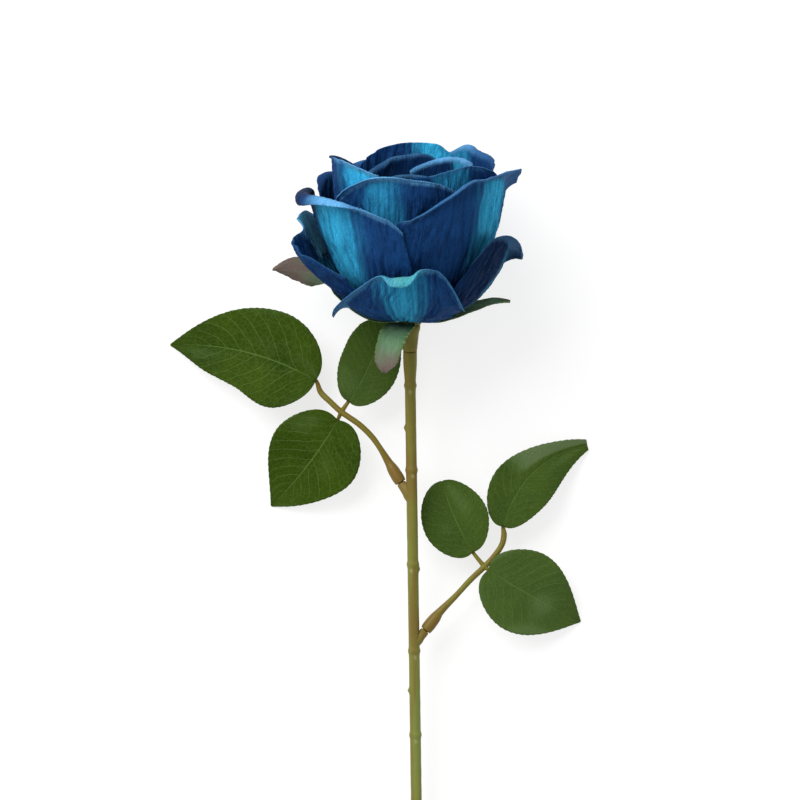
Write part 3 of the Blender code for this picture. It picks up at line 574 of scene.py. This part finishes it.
for index, (name, shape) in enumerate(SEPALS.items()):
    surface = sepal_surface(200.0 + 5.0 * index, **{**SEPAL_USUAL, **shape})
    bm = cloth_bmesh(*SEPAL_GRID, surface, "blush", "frayed")
    sepal = finish_piece(name + "_cloth", bm, sepal_cloth, "sepal_fabric", name)
    add_wall(sepal, SEPAL_THICKNESS)

# The stem: a moulded plastic tube over a steel wire, with low rings where leaves would have grown, a pale
# speck under each, and two stubs that the twigs plug onto. It is cut square at its lower end.
STEM_TOP = -14.0  # along the head's axis
STEM_FALL = Vector((5.5, -430.0, -28.4))  # from the head's base to the cut end
STEM_RADIUS = 2.2
STEM_SIDES = 28
STEM_NECK = [(0.0, 2.75), (6.0, 2.7), (10.0, 2.35), (14.0, STEM_RADIUS), (60.0, STEM_RADIUS)]
NODE_PLACES = [14.0, 48.0, 86.0, 121.0, 155.0, 192.0, 231.0, 266.0, 305.0, 342.0, 380.0]
NODE_RISE = 0.38
NODE_WIDTH = 0.95
SPECK_BELOW = 2.4  # from a ring to the pale speck under it
SPECK_SIZE = 0.6
NUBS = [(31.0, -1.0), (88.0, 1.0), (137.0, -1.0), (212.0, 1.0), (287.0, -1.0), (361.0, 1.0)]  # -1: left
NUB_RISE = 0.75
NUB_SIZE = 1.3
SPIGOT_RADIUS = 1.5
SPIGOT_TOP = 6.0
BORE_RADIUS = 1.0
BORE_DEPTH = 14.0
STUB_RADIUS = 1.9
PIN_RADIUS = 1.2
PIN_LENGTH = 6.3
GAP = 0.3
STUBS = {
    "left": dict(place=60.5, way=Vector((-0.52, 0.86, -0.1)).normalized(), reach=8.7),
    "right": dict(place=118.5, way=Vector((0.62, 0.78, -0.1)).normalized(), reach=7.4),
}  # reach: from the stem's middle line to the twig's socket
STEM_OLIVE = (0.19, 0.18, 0.03, 1.0)
STEM_GREEN = (0.2, 0.24, 0.05, 1.0)
STEM_BROWN = (0.19, 0.11, 0.022, 1.0)
STEM_SPECK = (0.4, 0.42, 0.2, 1.0)


def plastic(name, top, low, run):
    """Moulded plastic whose colour goes from top to low between two places along the rose, in metres."""
    made, tree, shader = new_material(name)
    place = node(tree, "TexCoord", {}).outputs["Object"]
    down = node(tree, "SeparateXYZ", {"Vector": place}).outputs["Y"]
    clouds = even_noise(tree, 90.0, 3.0)
    grain = even_noise(tree, 1500.0)
    drawn = node(tree, "Mapping", {"Vector": place, "Scale": (420.0, 14.0, 420.0)}).outputs["Vector"]
    drawn = node(tree, "TexNoise", {"Vector": drawn, "Scale": 1.0, "Detail": 2.0}).outputs["Fac"]
    colour = mix(tree, share_of(tree, down, run[1], run[0]), low, top)
    colour = mix(tree, share_of(tree, clouds, 0.5, 0.8, 0, 0.4), colour, STEM_BROWN)
    colour = mix(tree, share_of(tree, drawn, 0.48, 0.62, 0, 0.55), colour, STEM_BROWN)
    for stub in STUBS.values():
        socket = (stem_at(stub["place"])[0] + stub["way"] * (stub["reach"] + 2.0)) * MM
        away = node(tree, "VectorMath", {0: place, 1: socket}, operation="DISTANCE").outputs["Value"]
        colour = mix(tree, share_of(tree, away, 0.004, 0.014, 0.75, 0), colour, STEM_BROWN)
    colour = mix(tree, vertex_shade(tree, "speck"), colour, STEM_SPECK)
    tree.links.new(colour, shader.inputs["Base Color"])
    tree.links.new(relief(tree, grain, 0.04, relief(tree, clouds, 0.3)), shader.inputs["Normal"])
    tree.links.new(share_of(tree, grain, 0.3, 0.7, 0.36, 0.52), shader.inputs["Roughness"])
    shader.inputs["Specular IOR Level"].default_value = 0.2
    return made


def tube_into(bm, stations, sides, shade=None):
    """Adds a closed round tube through stations of (point, direction, radius), in millimetres, with a
    radius of 0 at both ends. shade(index, turn) gives a vertex its rise and its share of the speck."""
    count = len(stations) - 1
    made = bmesh.ops.create_grid(bm, x_segments=sides, y_segments=count, size=1.0)
    layer = bm.verts.layers.float.get("speck")
    for vert in made["verts"]:
        turn = math.pi * vert.co.x
        index = round((0.5 + 0.5 * vert.co.y) * count)
        point, way, radius = stations[index]
        side = way.cross(UP).normalized()
        rise, speck = shade(index, turn) if shade and radius else (0.0, 0.0)
        out = side * math.cos(turn) + side.cross(way) * math.sin(turn)
        vert.co = (point + out * (radius + rise)) * MM
        vert[layer] = speck
    bmesh.ops.remove_doubles(bm, verts=made["verts"], dist=1e-6)


def new_tube_bmesh():
    """An empty bmesh whose vertices carry the speck."""
    bm = bmesh.new()
    bm.verts.layers.float.new("speck")
    return bm


def settle(piece):
    """Makes the piece's modifiers part of its mesh."""
    seen = piece.evaluated_get(bpy.context.evaluated_depsgraph_get())
    mesh = bpy.data.meshes.new_from_object(seen)
    piece.modifiers.clear()
    piece.data = mesh


def join_tubes(piece, *others):
    """Unites the piece with other closed meshes, which are used up."""
    for bm in others:
        bmesh.ops.recalc_face_normals(bm, faces=bm.faces)
        mesh = bpy.data.meshes.new("part")
        bm.to_mesh(mesh)
        bm.free()
        mesh.materials.append(piece.data.materials[0])
        part = bpy.data.objects.new("part", mesh)
        bpy.context.scene.collection.objects.link(part)
        union = piece.modifiers.new("union", "BOOLEAN")
        union.operation = "UNION"
        union.object = part
        settle(piece)
        bpy.data.objects.remove(part)
    piece.data.shade_smooth()


stem_top = HEAD + AXIS * STEM_TOP
stem_bend = [stem_top - AXIS * 26.0, stem_top + Vector((2.6, -150.0, -15.0))]
stem_at = along(stem_top, *stem_bend, HEAD + STEM_FALL, 400)
stem_length = NODE_PLACES[-1]
while stem_at(stem_length)[0].y > HEAD.y + STEM_FALL.y:
    stem_length += GAP
STEM_STEPS = 540


def stem_radius(place):
    """The stem's radius at a place along it: its neck, and the low rings."""
    ring = sum(math.exp(-(((place - mark) / NODE_WIDTH) ** 2)) for mark in NODE_PLACES)
    return smooth_value(STEM_NECK, min(place, STEM_NECK[-1][0])) + NODE_RISE * ring


spigot = [(HEAD + AXIS * height, -AXIS, radius) for height, radius in (
    (SPIGOT_TOP, 0.0), (SPIGOT_TOP, 0.8 * SPIGOT_RADIUS), (SPIGOT_TOP - 0.4, SPIGOT_RADIUS),
    (STEM_TOP, SPIGOT_RADIUS),
)]
places = [stem_length * i / STEM_STEPS for i in range(STEM_STEPS + 1)]
skin = [(*stem_at(place), stem_radius(place)) for place in places]
end, end_way, _ = skin[-1]
skin[-1] = (end, end_way, STEM_RADIUS - 0.2)
bore = [(end, end_way, BORE_RADIUS + 0.15), (end - end_way * 0.2, end_way, BORE_RADIUS)]
bore += [(end - end_way * BORE_DEPTH, end_way, BORE_RADIUS), (end - end_way * BORE_DEPTH, end_way, 0.0)]
stations = spigot + skin + bore


def stem_shade(index, turn):
    """The stem's small marks: nubs at its sides and a pale speck under each ring."""
    place = index - len(spigot)
    if not 0 <= place < STEM_STEPS:
        return 0.0, 0.0
    place = places[place]
    rise = 0.06 * noise.noise(Vector((place * 0.25, math.cos(turn), math.sin(turn))))
    for mark, side in NUBS:
        facing = turn if side < 0 else turn - math.pi
        away = ((place - mark) / NUB_SIZE) ** 2 + (STEM_RADIUS * math.sin(0.5 * facing)) ** 2
        rise += NUB_RISE * math.exp(-2.0 * away)
    speck = 0.0
    for number, mark in enumerate(NODE_PLACES):
        facing = turn - 0.5 * math.pi - 0.35 * math.sin(2.3 * number)
        across = 2 * STEM_RADIUS * math.sin(0.5 * facing)
        away = ((place - mark - SPECK_BELOW) / SPECK_SIZE) ** 2 + (across / SPECK_SIZE) ** 2
        speck = max(speck, 0.7 * math.exp(-away))
    return rise, speck


stem_plastic = plastic("stem_plastic", STEM_OLIVE, STEM_GREEN, (0.13, 0.0))
bm = new_tube_bmesh()
tube_into(bm, stations, STEM_SIDES, stem_shade)
bmesh.ops.recalc_face_normals(bm, faces=bm.faces)
stem = finish_piece("stem_skin", bm, stem_plastic, "stem_plastic", "stem")
stubs = []
for stub in STUBS.values():
    root, way = stem_at(stub["place"])[0], stub["way"]
    bm = new_tube_bmesh()
    shoulder, pin_end = stub["reach"] - GAP, stub["reach"] + PIN_LENGTH - GAP
    sizes = [(0.5, 0.0), (0.5, 2.0), (2.6, 2.15), (4.0, STUB_RADIUS), (shoulder - 0.3, STUB_RADIUS)]
    sizes += [(shoulder, STUB_RADIUS - 0.3), (shoulder, PIN_RADIUS)]
    sizes += [(pin_end - 0.4, PIN_RADIUS), (pin_end, 0.8 * PIN_RADIUS), (pin_end, 0.0)]
    tube_into(bm, [(root + way * reach, way, radius) for reach, radius in sizes], STEM_SIDES)
    stubs.append(bm)
join_tubes(stem, *stubs)

# The cup that the flower sits in, turned from the stem's plastic, and the peg above it, moulded in the same
# green. The wire in the stem is bare steel, and shows at the cut end.
CUP_RADIUS = 4.1
CUP_FOOT_RADIUS = 2.85
CUP_STEPS = 56
CUP_TOP = PEG_FOOT - GAP
CUP_FOOT = STEM_TOP + GAP
cup_hole = SPIGOT_RADIUS + GAP
cup_profile = [
    (cup_hole, CUP_TOP), (cup_hole, CUP_FOOT), (CUP_FOOT_RADIUS - 0.3, CUP_FOOT),
    (CUP_FOOT_RADIUS, CUP_FOOT + 0.3), (CUP_FOOT_RADIUS + 0.15, CUP_FOOT + 2.0),
    (CUP_FOOT_RADIUS + 0.4, CUP_FOOT + 4.5), (CUP_RADIUS - 0.5, CUP_TOP - 3.4),
    (CUP_RADIUS - 0.1, CUP_TOP - 2.2), (CUP_RADIUS, CUP_TOP - 1.0), (CUP_RADIUS - 0.25, CUP_TOP - 0.2),
    (CUP_RADIUS - 0.6, CUP_TOP), (cup_hole, CUP_TOP),
]
bm = bmesh.new()
ring = [bm.verts.new((radius * MM, 0.0, height * MM)) for radius, height in cup_profile[:-1]]
edges = [bm.edges.new(pair) for pair in zip(ring, ring[1:] + ring[:1])]
around = dict(cent=(0, 0, 0), axis=(0, 0, 1), angle=2 * math.pi, steps=CUP_STEPS, use_merge=True)
bmesh.ops.spin(bm, geom=ring + edges, **around)
bmesh.ops.remove_doubles(bm, verts=bm.verts, dist=1e-7)
bmesh.ops.recalc_face_normals(bm, faces=bm.faces)
upright = Matrix.Translation(HEAD * MM) @ UP.rotation_difference(AXIS).to_matrix().to_4x4()
bmesh.ops.transform(bm, matrix=upright, verts=bm.verts)
cup = finish_piece("calyx_cup_turned", bm, stem_plastic, "stem_plastic", "calyx_cup")
cup.data.set_sharp_from_angle(angle=math.radians(50))

PEG_GREEN = (0.09, 0.13, 0.035, 1.0)
peg_plastic = plastic("peg_plastic", PEG_GREEN, PEG_GREEN, (0.1, 0.0))
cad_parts["petal_peg"].material_slots[0].material = peg_plastic

STEEL_DARK = (0.3, 0.3, 0.31, 1.0)
STEEL_BRIGHT = (0.55, 0.55, 0.56, 1.0)
wire_steel, tree, shader = new_material("wire_steel")
drawn = even_noise(tree, 900.0)
tree.links.new(mix(tree, drawn, STEEL_DARK, STEEL_BRIGHT), shader.inputs["Base Color"])
tree.links.new(share_of(tree, drawn, 0.3, 0.7, 0.25, 0.45), shader.inputs["Roughness"])
shader.inputs["Metallic"].default_value = 1.0
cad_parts["stem_wire"].material_slots[0].material = wire_steel

# The leaves: six pieces of printed cloth, cut with fine teeth, pressed with a midrib and side veins, and
# glued on the twigs' ends. They lie on the table or stand a little above it.
# base and tip: from the head's base, with z above the table. bow: how far the midrib swings to its left.
# arch: how far it rises. width: at the widest place, which is full, of 1, along the leaf. lobe: how far
# the base's two lobes reach back. left and right: by how much each half is narrower or wider along the
# leaf. point: how straight the leaf runs to its tip, and the smaller the rounder. blunt: half the tip's
# width. light: how pale the leaf is. folded: how pale its left side is where it is folded over.
LEAF_THICKNESS = 0.45
LEAF_CAD_THICKNESS = 0.7  # of the solid, which the twigs' ends lie under
LEAF_GRID = (36, 150)
LEAF_CLAW = 0.9  # half the width at the leaf's base
LEAF_TIP = 0.25
TOOTH = 0.24
TOOTH_GAP = 2.1
VEIN_STEP = 0.095  # between two side veins, of the leaf's length
VEIN_SWEEP = 0.28  # how far a vein runs towards the tip, on its way to the edge
VEIN_WANDER = 1.2  # how far it strays, in steps
QUILT = 0.14  # how far the cloth is puffed between the veins
LEAF_WAVE = 0.9  # how far its edges wave
LEAVES = {
    "left_end_leaf": dict(
        base=(-38.0, -24.8, 12.5), tip=(-97.2, -10.4, 0.4), bow=-4.4, arch=3.0, width=38, full=0.34, lobe=4,
        left=[(0, 1.05), (0.17, 1.04), (0.36, 0.91), (0.5, 0.82), (0.65, 0.86), (0.8, 0.98), (1, 1)],
    ),
    "left_upper_leaf": dict(
        base=(-24.6, -33.2, 13.5), tip=(-10.5, 0.0, 12.0), bow=-2.0, arch=1.5, width=23, full=0.44, lobe=3,
        left=[(0, 1), (0.5, 1), (0.8, 1.25), (0.92, 1.5), (1, 1.5)], point=0.6, light=0.2,
    ),
    "left_lower_leaf": dict(
        base=(-29.2, -40.9, 12.2), tip=(-56.2, -75.8, 0.4), bow=1.5, arch=2.0, width=36, full=0.4, lobe=8,
        left=[(0, 1), (0.35, 1), (0.7, 0.9), (1, 1)],
    ),
    "right_end_leaf": dict(
        base=(37.6, -83.6, 10.5), tip=(72.0, -51.0, 0.6), bow=7.2, arch=3.0, width=28, full=0.4, lobe=4,
        left=[(0, 0.9), (0.3, 0.8), (0.6, 0.56), (0.8, 0.46), (1, 0.5)],
        right=[(0, 0.9), (0.3, 0.8), (1, 0.74)], blunt=2.2, folded=0.7, light=0.16,
    ),
    "right_upper_leaf": dict(
        base=(25.2, -94.0, 11.5), tip=(13.0, -65.6, 7.5), bow=1.2, arch=1.0, width=25, full=0.46, lobe=4,
        point=0.5, blunt=1.0, light=0.15,
    ),
    "right_lower_leaf": dict(
        base=(31.6, -101.2, 12.8), tip=(69.2, -122.8, 0.4), bow=-0.5, arch=2.5, width=33, full=0.4, lobe=7,
        light=0.3,
    ),
}
LEAF_USUAL = dict(
    left=[(0, 1), (1, 1)], right=[(0, 1), (1, 1)], point=1.0, blunt=LEAF_TIP, folded=0.0, light=0.0
)
LEAF_FOLD = 0.1  # the rise of a leaf's edges, as a share of its half width
LEAF_DARK = (0.022, 0.048, 0.0015, 1.0)
LEAF_GREEN = (0.04, 0.076, 0.003, 1.0)
LEAF_LIGHT = (0.12, 0.2, 0.06, 1.0)
LEAF_GREY = (0.13, 0.18, 0.09, 1.0)
VEIN_GREEN = (0.12, 0.2, 0.045, 1.0)

leaf_cloth, tree, shader = new_material("leaf_cloth")
place = cloth_map(tree)
along_leaf = node(tree, "SeparateXYZ", {"Vector": place}).outputs["Y"]
from_midrib = off_middle(tree)
clouds = even_noise(tree, 60.0, 3.0)
swept = arithmetic(tree, "MULTIPLY_ADD", from_midrib, -2.0 * VEIN_SWEEP, along_leaf)
steps = arithmetic(tree, "DIVIDE", swept, VEIN_STEP)
steps = arithmetic(tree, "MULTIPLY_ADD", clouds, VEIN_WANDER, steps)
side_vein = share_of(tree, arithmetic(tree, "PINGPONG", steps, 0.5), 0.01, 0.05, 0.8, 0.0)
side_vein = arithmetic(tree, "MULTIPLY", side_vein, share_of(tree, from_midrib, 0.3, 0.5, 1.0, 0.25))
midrib = share_of(tree, from_midrib, 0.003, 0.011, 0.9, 0.0)
veins = arithmetic(tree, "MAXIMUM", side_vein, midrib)
net = node(tree, "Mapping", {"Vector": place, "Scale": (18.0, 26.0, 1.0)}).outputs["Vector"]
net = node(tree, "TexVoronoi", {"Vector": net, "Scale": 1.0}, feature="DISTANCE_TO_EDGE")
net = share_of(tree, net.outputs["Distance"], 0.0, 0.1, 0.2, 0.0)
grain = even_noise(tree, 2400.0)
light = vertex_shade(tree, "light")
colour = mix(tree, share_of(tree, clouds, 0.3, 0.7), LEAF_DARK, LEAF_GREEN)
colour = mix(tree, light, colour, LEAF_LIGHT)
colour = mix(tree, share_of(tree, light, 0.4, 0.9), colour, LEAF_GREY)
colour = mix(tree, net, colour, VEIN_GREEN)
colour = mix(tree, share_of(tree, veins, 0, 1, 0, 0.7), colour, VEIN_GREEN)
tree.links.new(speckled(tree, colour, grain, 0.15), shader.inputs["Base Color"])
tree.links.new(share_of(tree, clouds, 0.3, 0.7, 0.55, 0.68), shader.inputs["Roughness"])
tree.links.new(relief(tree, grain, 0.03, relief(tree, veins, -0.15)), shader.inputs["Normal"])
shader.inputs["Specular IOR Level"].default_value = 0.05


def leaf_place(point):
    """A place on the rose, from one that is given from the head's base and the table."""
    return Vector((HEAD.x + point[0], HEAD.y + point[1], point[2]))


def leaf_midrib(leaf):
    """A function from 0..1 to (point, direction, side) along the leaf's midrib."""
    base, tip = leaf_place(leaf["base"]), leaf_place(leaf["tip"])
    flat = Vector((tip.x - base.x, tip.y - base.y, 0.0)).normalized()
    middle = 0.5 * (base + tip) + UP.cross(flat) * (2 * leaf["bow"]) + UP * (2 * leaf["arch"])

    def at(v):
        s = 1.0 - v
        way = ((middle - base) * s + (tip - middle) * v).normalized()
        return base * (s * s) + middle * (2 * s * v) + tip * (v * v), way, way.cross(UP).normalized()

    return at


def leaf_surface(seed, leaf):
    """place_vertex(u, v) of one leaf, with its shade: how light it is."""
    midrib = leaf_midrib(leaf)
    length = (leaf_place(leaf["tip"]) - leaf_place(leaf["base"])).length
    teeth = round(length / TOOTH_GAP)

    def place_vertex(u, v):
        point, way, side = midrib(v)
        full = leaf["full"]
        place = 0.5 * v / full if v < full else 0.5 + 0.5 * (v - full) / (1 - full)
        half = 0.5 * leaf["width"] * abs(math.sin(math.pi * place)) ** (0.6 if v < full else leaf["point"])
        half *= smooth_value(leaf["right"] if u > 0 else leaf["left"], v)
        half += LEAF_CLAW + (leaf["blunt"] - LEAF_CLAW) * v
        tooth = (v * teeth) % 1.0
        toothed = fade(0.03, 0.15, v) * (1.0 - fade(0.9, 1.0, v))
        half += TOOTH * (tooth - 0.6) * toothed * fade(0.75, 1.0, abs(u))
        swept = (v - VEIN_SWEEP * abs(u)) / VEIN_STEP
        quilt = abs(math.sin(math.pi * swept)) * fade(0.02, 0.2, abs(u)) * (1.0 - fade(0.8, 1.0, abs(u)))
        wave = noise.noise(Vector((u * 1.3, v * 3.0, seed))) * abs(u) * math.sin(math.pi * v)
        rise = LEAF_FOLD * half * abs(u) ** 1.4 + QUILT * quilt + LEAF_WAVE * wave
        light = 0.2 * fade(0.1, 0.6, noise.noise(Vector((u * 1.5, v * 2.5, seed + 2.0))))
        light = max(light + leaf["light"], leaf["folded"] * fade(0.1, 0.4, -u) * fade(0.3, 0.55, v))
        back = leaf["lobe"] * u * u * 2.0 * half / leaf["width"] * (1.0 - v) ** 5
        return point + side * (u * half) + side.cross(way) * rise - way * back, light

    return place_vertex


for index, (name, leaf) in enumerate(LEAVES.items()):
    surface = leaf_surface(300.0 + 5.0 * index, {**LEAF_USUAL, **leaf})
    bm = cloth_bmesh(*LEAF_GRID, surface, "light")
    piece = finish_piece(name + "_cloth", bm, leaf_cloth, "leaf_fabric", name)
    add_wall(piece, LEAF_THICKNESS)

# The twigs: moulded plastic, each with a socket that is pushed over a stub of the stem, and three thin ends
# that are glued along the undersides of the leaves. route: from the socket to the fork. end_route: from
# there to the end leaf.
SOCKET_RADIUS = 2.5
TWIG_RADIUS = 1.2
TWIG_NECK = 1.7
RIB_RADIUS = 0.6
RIB_SHARES = [0.0, 0.1, 0.2, 0.31, 0.42]  # how far along its leaf a rib passes
RIB_RADII = [0.75, RIB_RADIUS, RIB_RADIUS, 0.55, 0.45]
TWIG_STEP = 0.6
TWIG_SIDES = 14
TWIG_VOXEL = 0.24
TWIGS = {
    "left": dict(
        route=[(-11.8, -52.4, 16.6), (-15.4, -47.4, 15.8), (-20.4, -42.6, 14.9), (-27.6, -37.6, 13.3)],
        end_route=[(-32.0, -33.6, 12.1), (-36.0, -29.6, 10.6)],
    ),
    "right": dict(
        route=[(18.6, -111.4, 13.2), (24.4, -105.2, 12.0), (30.0, -100.0, 10.8)],
        end_route=[(34.0, -95.8, 10.0), (37.2, -91.0, 9.4), (38.0, -87.0, 8.9)],
    ),
}
TWIG_GREEN = (0.165, 0.135, 0.012, 1.0)
TWIG_LOW_GREEN = (0.18, 0.17, 0.02, 1.0)
twig_plastic = plastic("twig_plastic", TWIG_GREEN, TWIG_LOW_GREEN, (0.12, 0.06))


def rib_points(name):
    """The run of a twig's end along the underside of its leaf."""
    midrib = leaf_midrib(LEAVES[name])
    below = 0.5 * LEAF_CAD_THICKNESS + GAP + RIB_RADIUS + 0.15
    points = []
    for share in RIB_SHARES:
        point, way, side = midrib(share)
        points.append(point - side.cross(way) * below)
    return points


def smooth_tube(bm, points, radii, start=()):
    """Adds a tube with round ends along a smooth curve through the points, after the stations in start."""
    marks = [0.0]
    for one, two in zip(points, points[1:]):
        marks.append(marks[-1] + (two - one).length)
    curves = [[(mark, point[axis]) for mark, point in zip(marks, points)] for axis in range(3)]
    sizes = list(zip(marks, radii))
    count = max(8, int(marks[-1] / TWIG_STEP))
    places = [marks[-1] * i / count for i in range(count + 1)]
    line = [Vector([smooth_value(curve, place) for curve in curves]) for place in places]
    stations = list(start)
    for i, (place, point) in enumerate(zip(places, line)):
        way = (line[min(i + 1, count)] - line[max(i - 1, 0)]).normalized()
        stations.append((point, way, smooth_value(sizes, place)))
    point, way, radius = stations[-1]
    stations += [(point + way * 0.5 * radius, way, 0.8 * radius), (point + way * 0.6 * radius, way, 0.0)]
    if not start:
        point, way, radius = stations[0]
        stations.insert(0, (point, way, 0.0))
    tube_into(bm, stations, TWIG_SIDES)


for side, twig in TWIGS.items():
    root, way = stem_at(STUBS[side]["place"])[0], STUBS[side]["way"]
    start = STUBS[side]["reach"]
    hole_end = root + way * (start + PIN_LENGTH)
    mouth = root + way * start
    hole = [(hole_end, way, 0.0), (hole_end, way, PIN_RADIUS + GAP), (mouth, way, PIN_RADIUS + GAP)]
    socket = [root + way * (start + reach) for reach in (0, 2, PIN_LENGTH, PIN_LENGTH + 3)]
    route = [leaf_place(point) for point in twig["route"]]
    end = [leaf_place(point) for point in twig["end_route"]] + rib_points(side + "_end_leaf")
    radii = [SOCKET_RADIUS * 0.9, SOCKET_RADIUS, SOCKET_RADIUS * 0.92, TWIG_NECK]
    radii += [TWIG_RADIUS] * (len(route) + len(twig["end_route"])) + RIB_RADII
    bm = new_tube_bmesh()
    smooth_tube(bm, socket + route + end, radii, hole)
    for where in ("upper", "lower"):
        branch = [route[-1]] + rib_points(side + "_" + where + "_leaf")
        smooth_tube(bm, branch, [1.0] + RIB_RADII)
    bmesh.ops.recalc_face_normals(bm, faces=bm.faces)
    piece = finish_piece(side + "_twig_skin", bm, twig_plastic, "stem_plastic", side + "_twig")
    remesh = piece.modifiers.new("remesh", "REMESH")
    remesh.mode = "VOXEL"
    remesh.voxel_size = TWIG_VOXEL * MM
    remesh.use_smooth_shade = True
    settle(piece)

# The studio: a floor of pale paper, the camera straight above the rose, and a large soft lamp over its
# upper left, in a white room.
FLOOR_REACH = 3.0  # in metres, as is the lamp's place
FLOOR_GREY = (0.3, 0.3, 0.3, 1.0)
WHITE = (1.0, 1.0, 1.0, 1.0)
CAMERA_HEIGHT = 1220.0
CAMERA_OFF = (-4.0, -32.8)  # from the head's base
LAMP_PLACE = (-0.9, 1.3, 1.5)
LAMP_AIM = (0.0, 0.1, 0.0)
bm = bmesh.new()
bmesh.ops.create_grid(bm, x_segments=1, y_segments=1, size=FLOOR_REACH)
mesh = bpy.data.meshes.new("floor")
bm.to_mesh(mesh)
bm.free()
floor = bpy.data.objects.new("floor", mesh)
bpy.context.scene.collection.objects.link(floor)
paper, tree, shader = new_material("pale_paper")
shader.inputs["Base Color"].default_value = FLOOR_GREY
shader.inputs["Roughness"].default_value = 0.9
shader.inputs["Emission Color"].default_value = WHITE
shader.inputs["Emission Strength"].default_value = 0.75
mesh.materials.append(paper)

camera = bpy.data.cameras.new("camera")
camera.lens = 135.0
camera.sensor_width = 36.0
camera.clip_end = 10.0
eye = bpy.data.objects.new("camera", camera)
eye.location = Vector((HEAD.x + CAMERA_OFF[0], HEAD.y + CAMERA_OFF[1], CAMERA_HEIGHT)) * MM
bpy.context.scene.collection.objects.link(eye)
bpy.context.scene.camera = eye

lamp = bpy.data.lights.new("softbox", "AREA")
lamp.shape = "RECTANGLE"
lamp.size, lamp.size_y = 1.6, 1.2
lamp.energy = 40.0
softbox = bpy.data.objects.new("softbox", lamp)
softbox.location = LAMP_PLACE
softbox.rotation_euler = (Vector(LAMP_AIM) - softbox.location).to_track_quat("-Z", "Y").to_euler()
bpy.context.scene.collection.objects.link(softbox)
world = bpy.data.worlds.new("studio")
world.use_nodes = True
room = world.node_tree.nodes["Background"]
room.inputs["Color"].default_value = WHITE
room.inputs["Strength"].default_value = 0.5
bpy.context.scene.world = world
bpy.context.scene.view_settings.view_transform = "Standard"
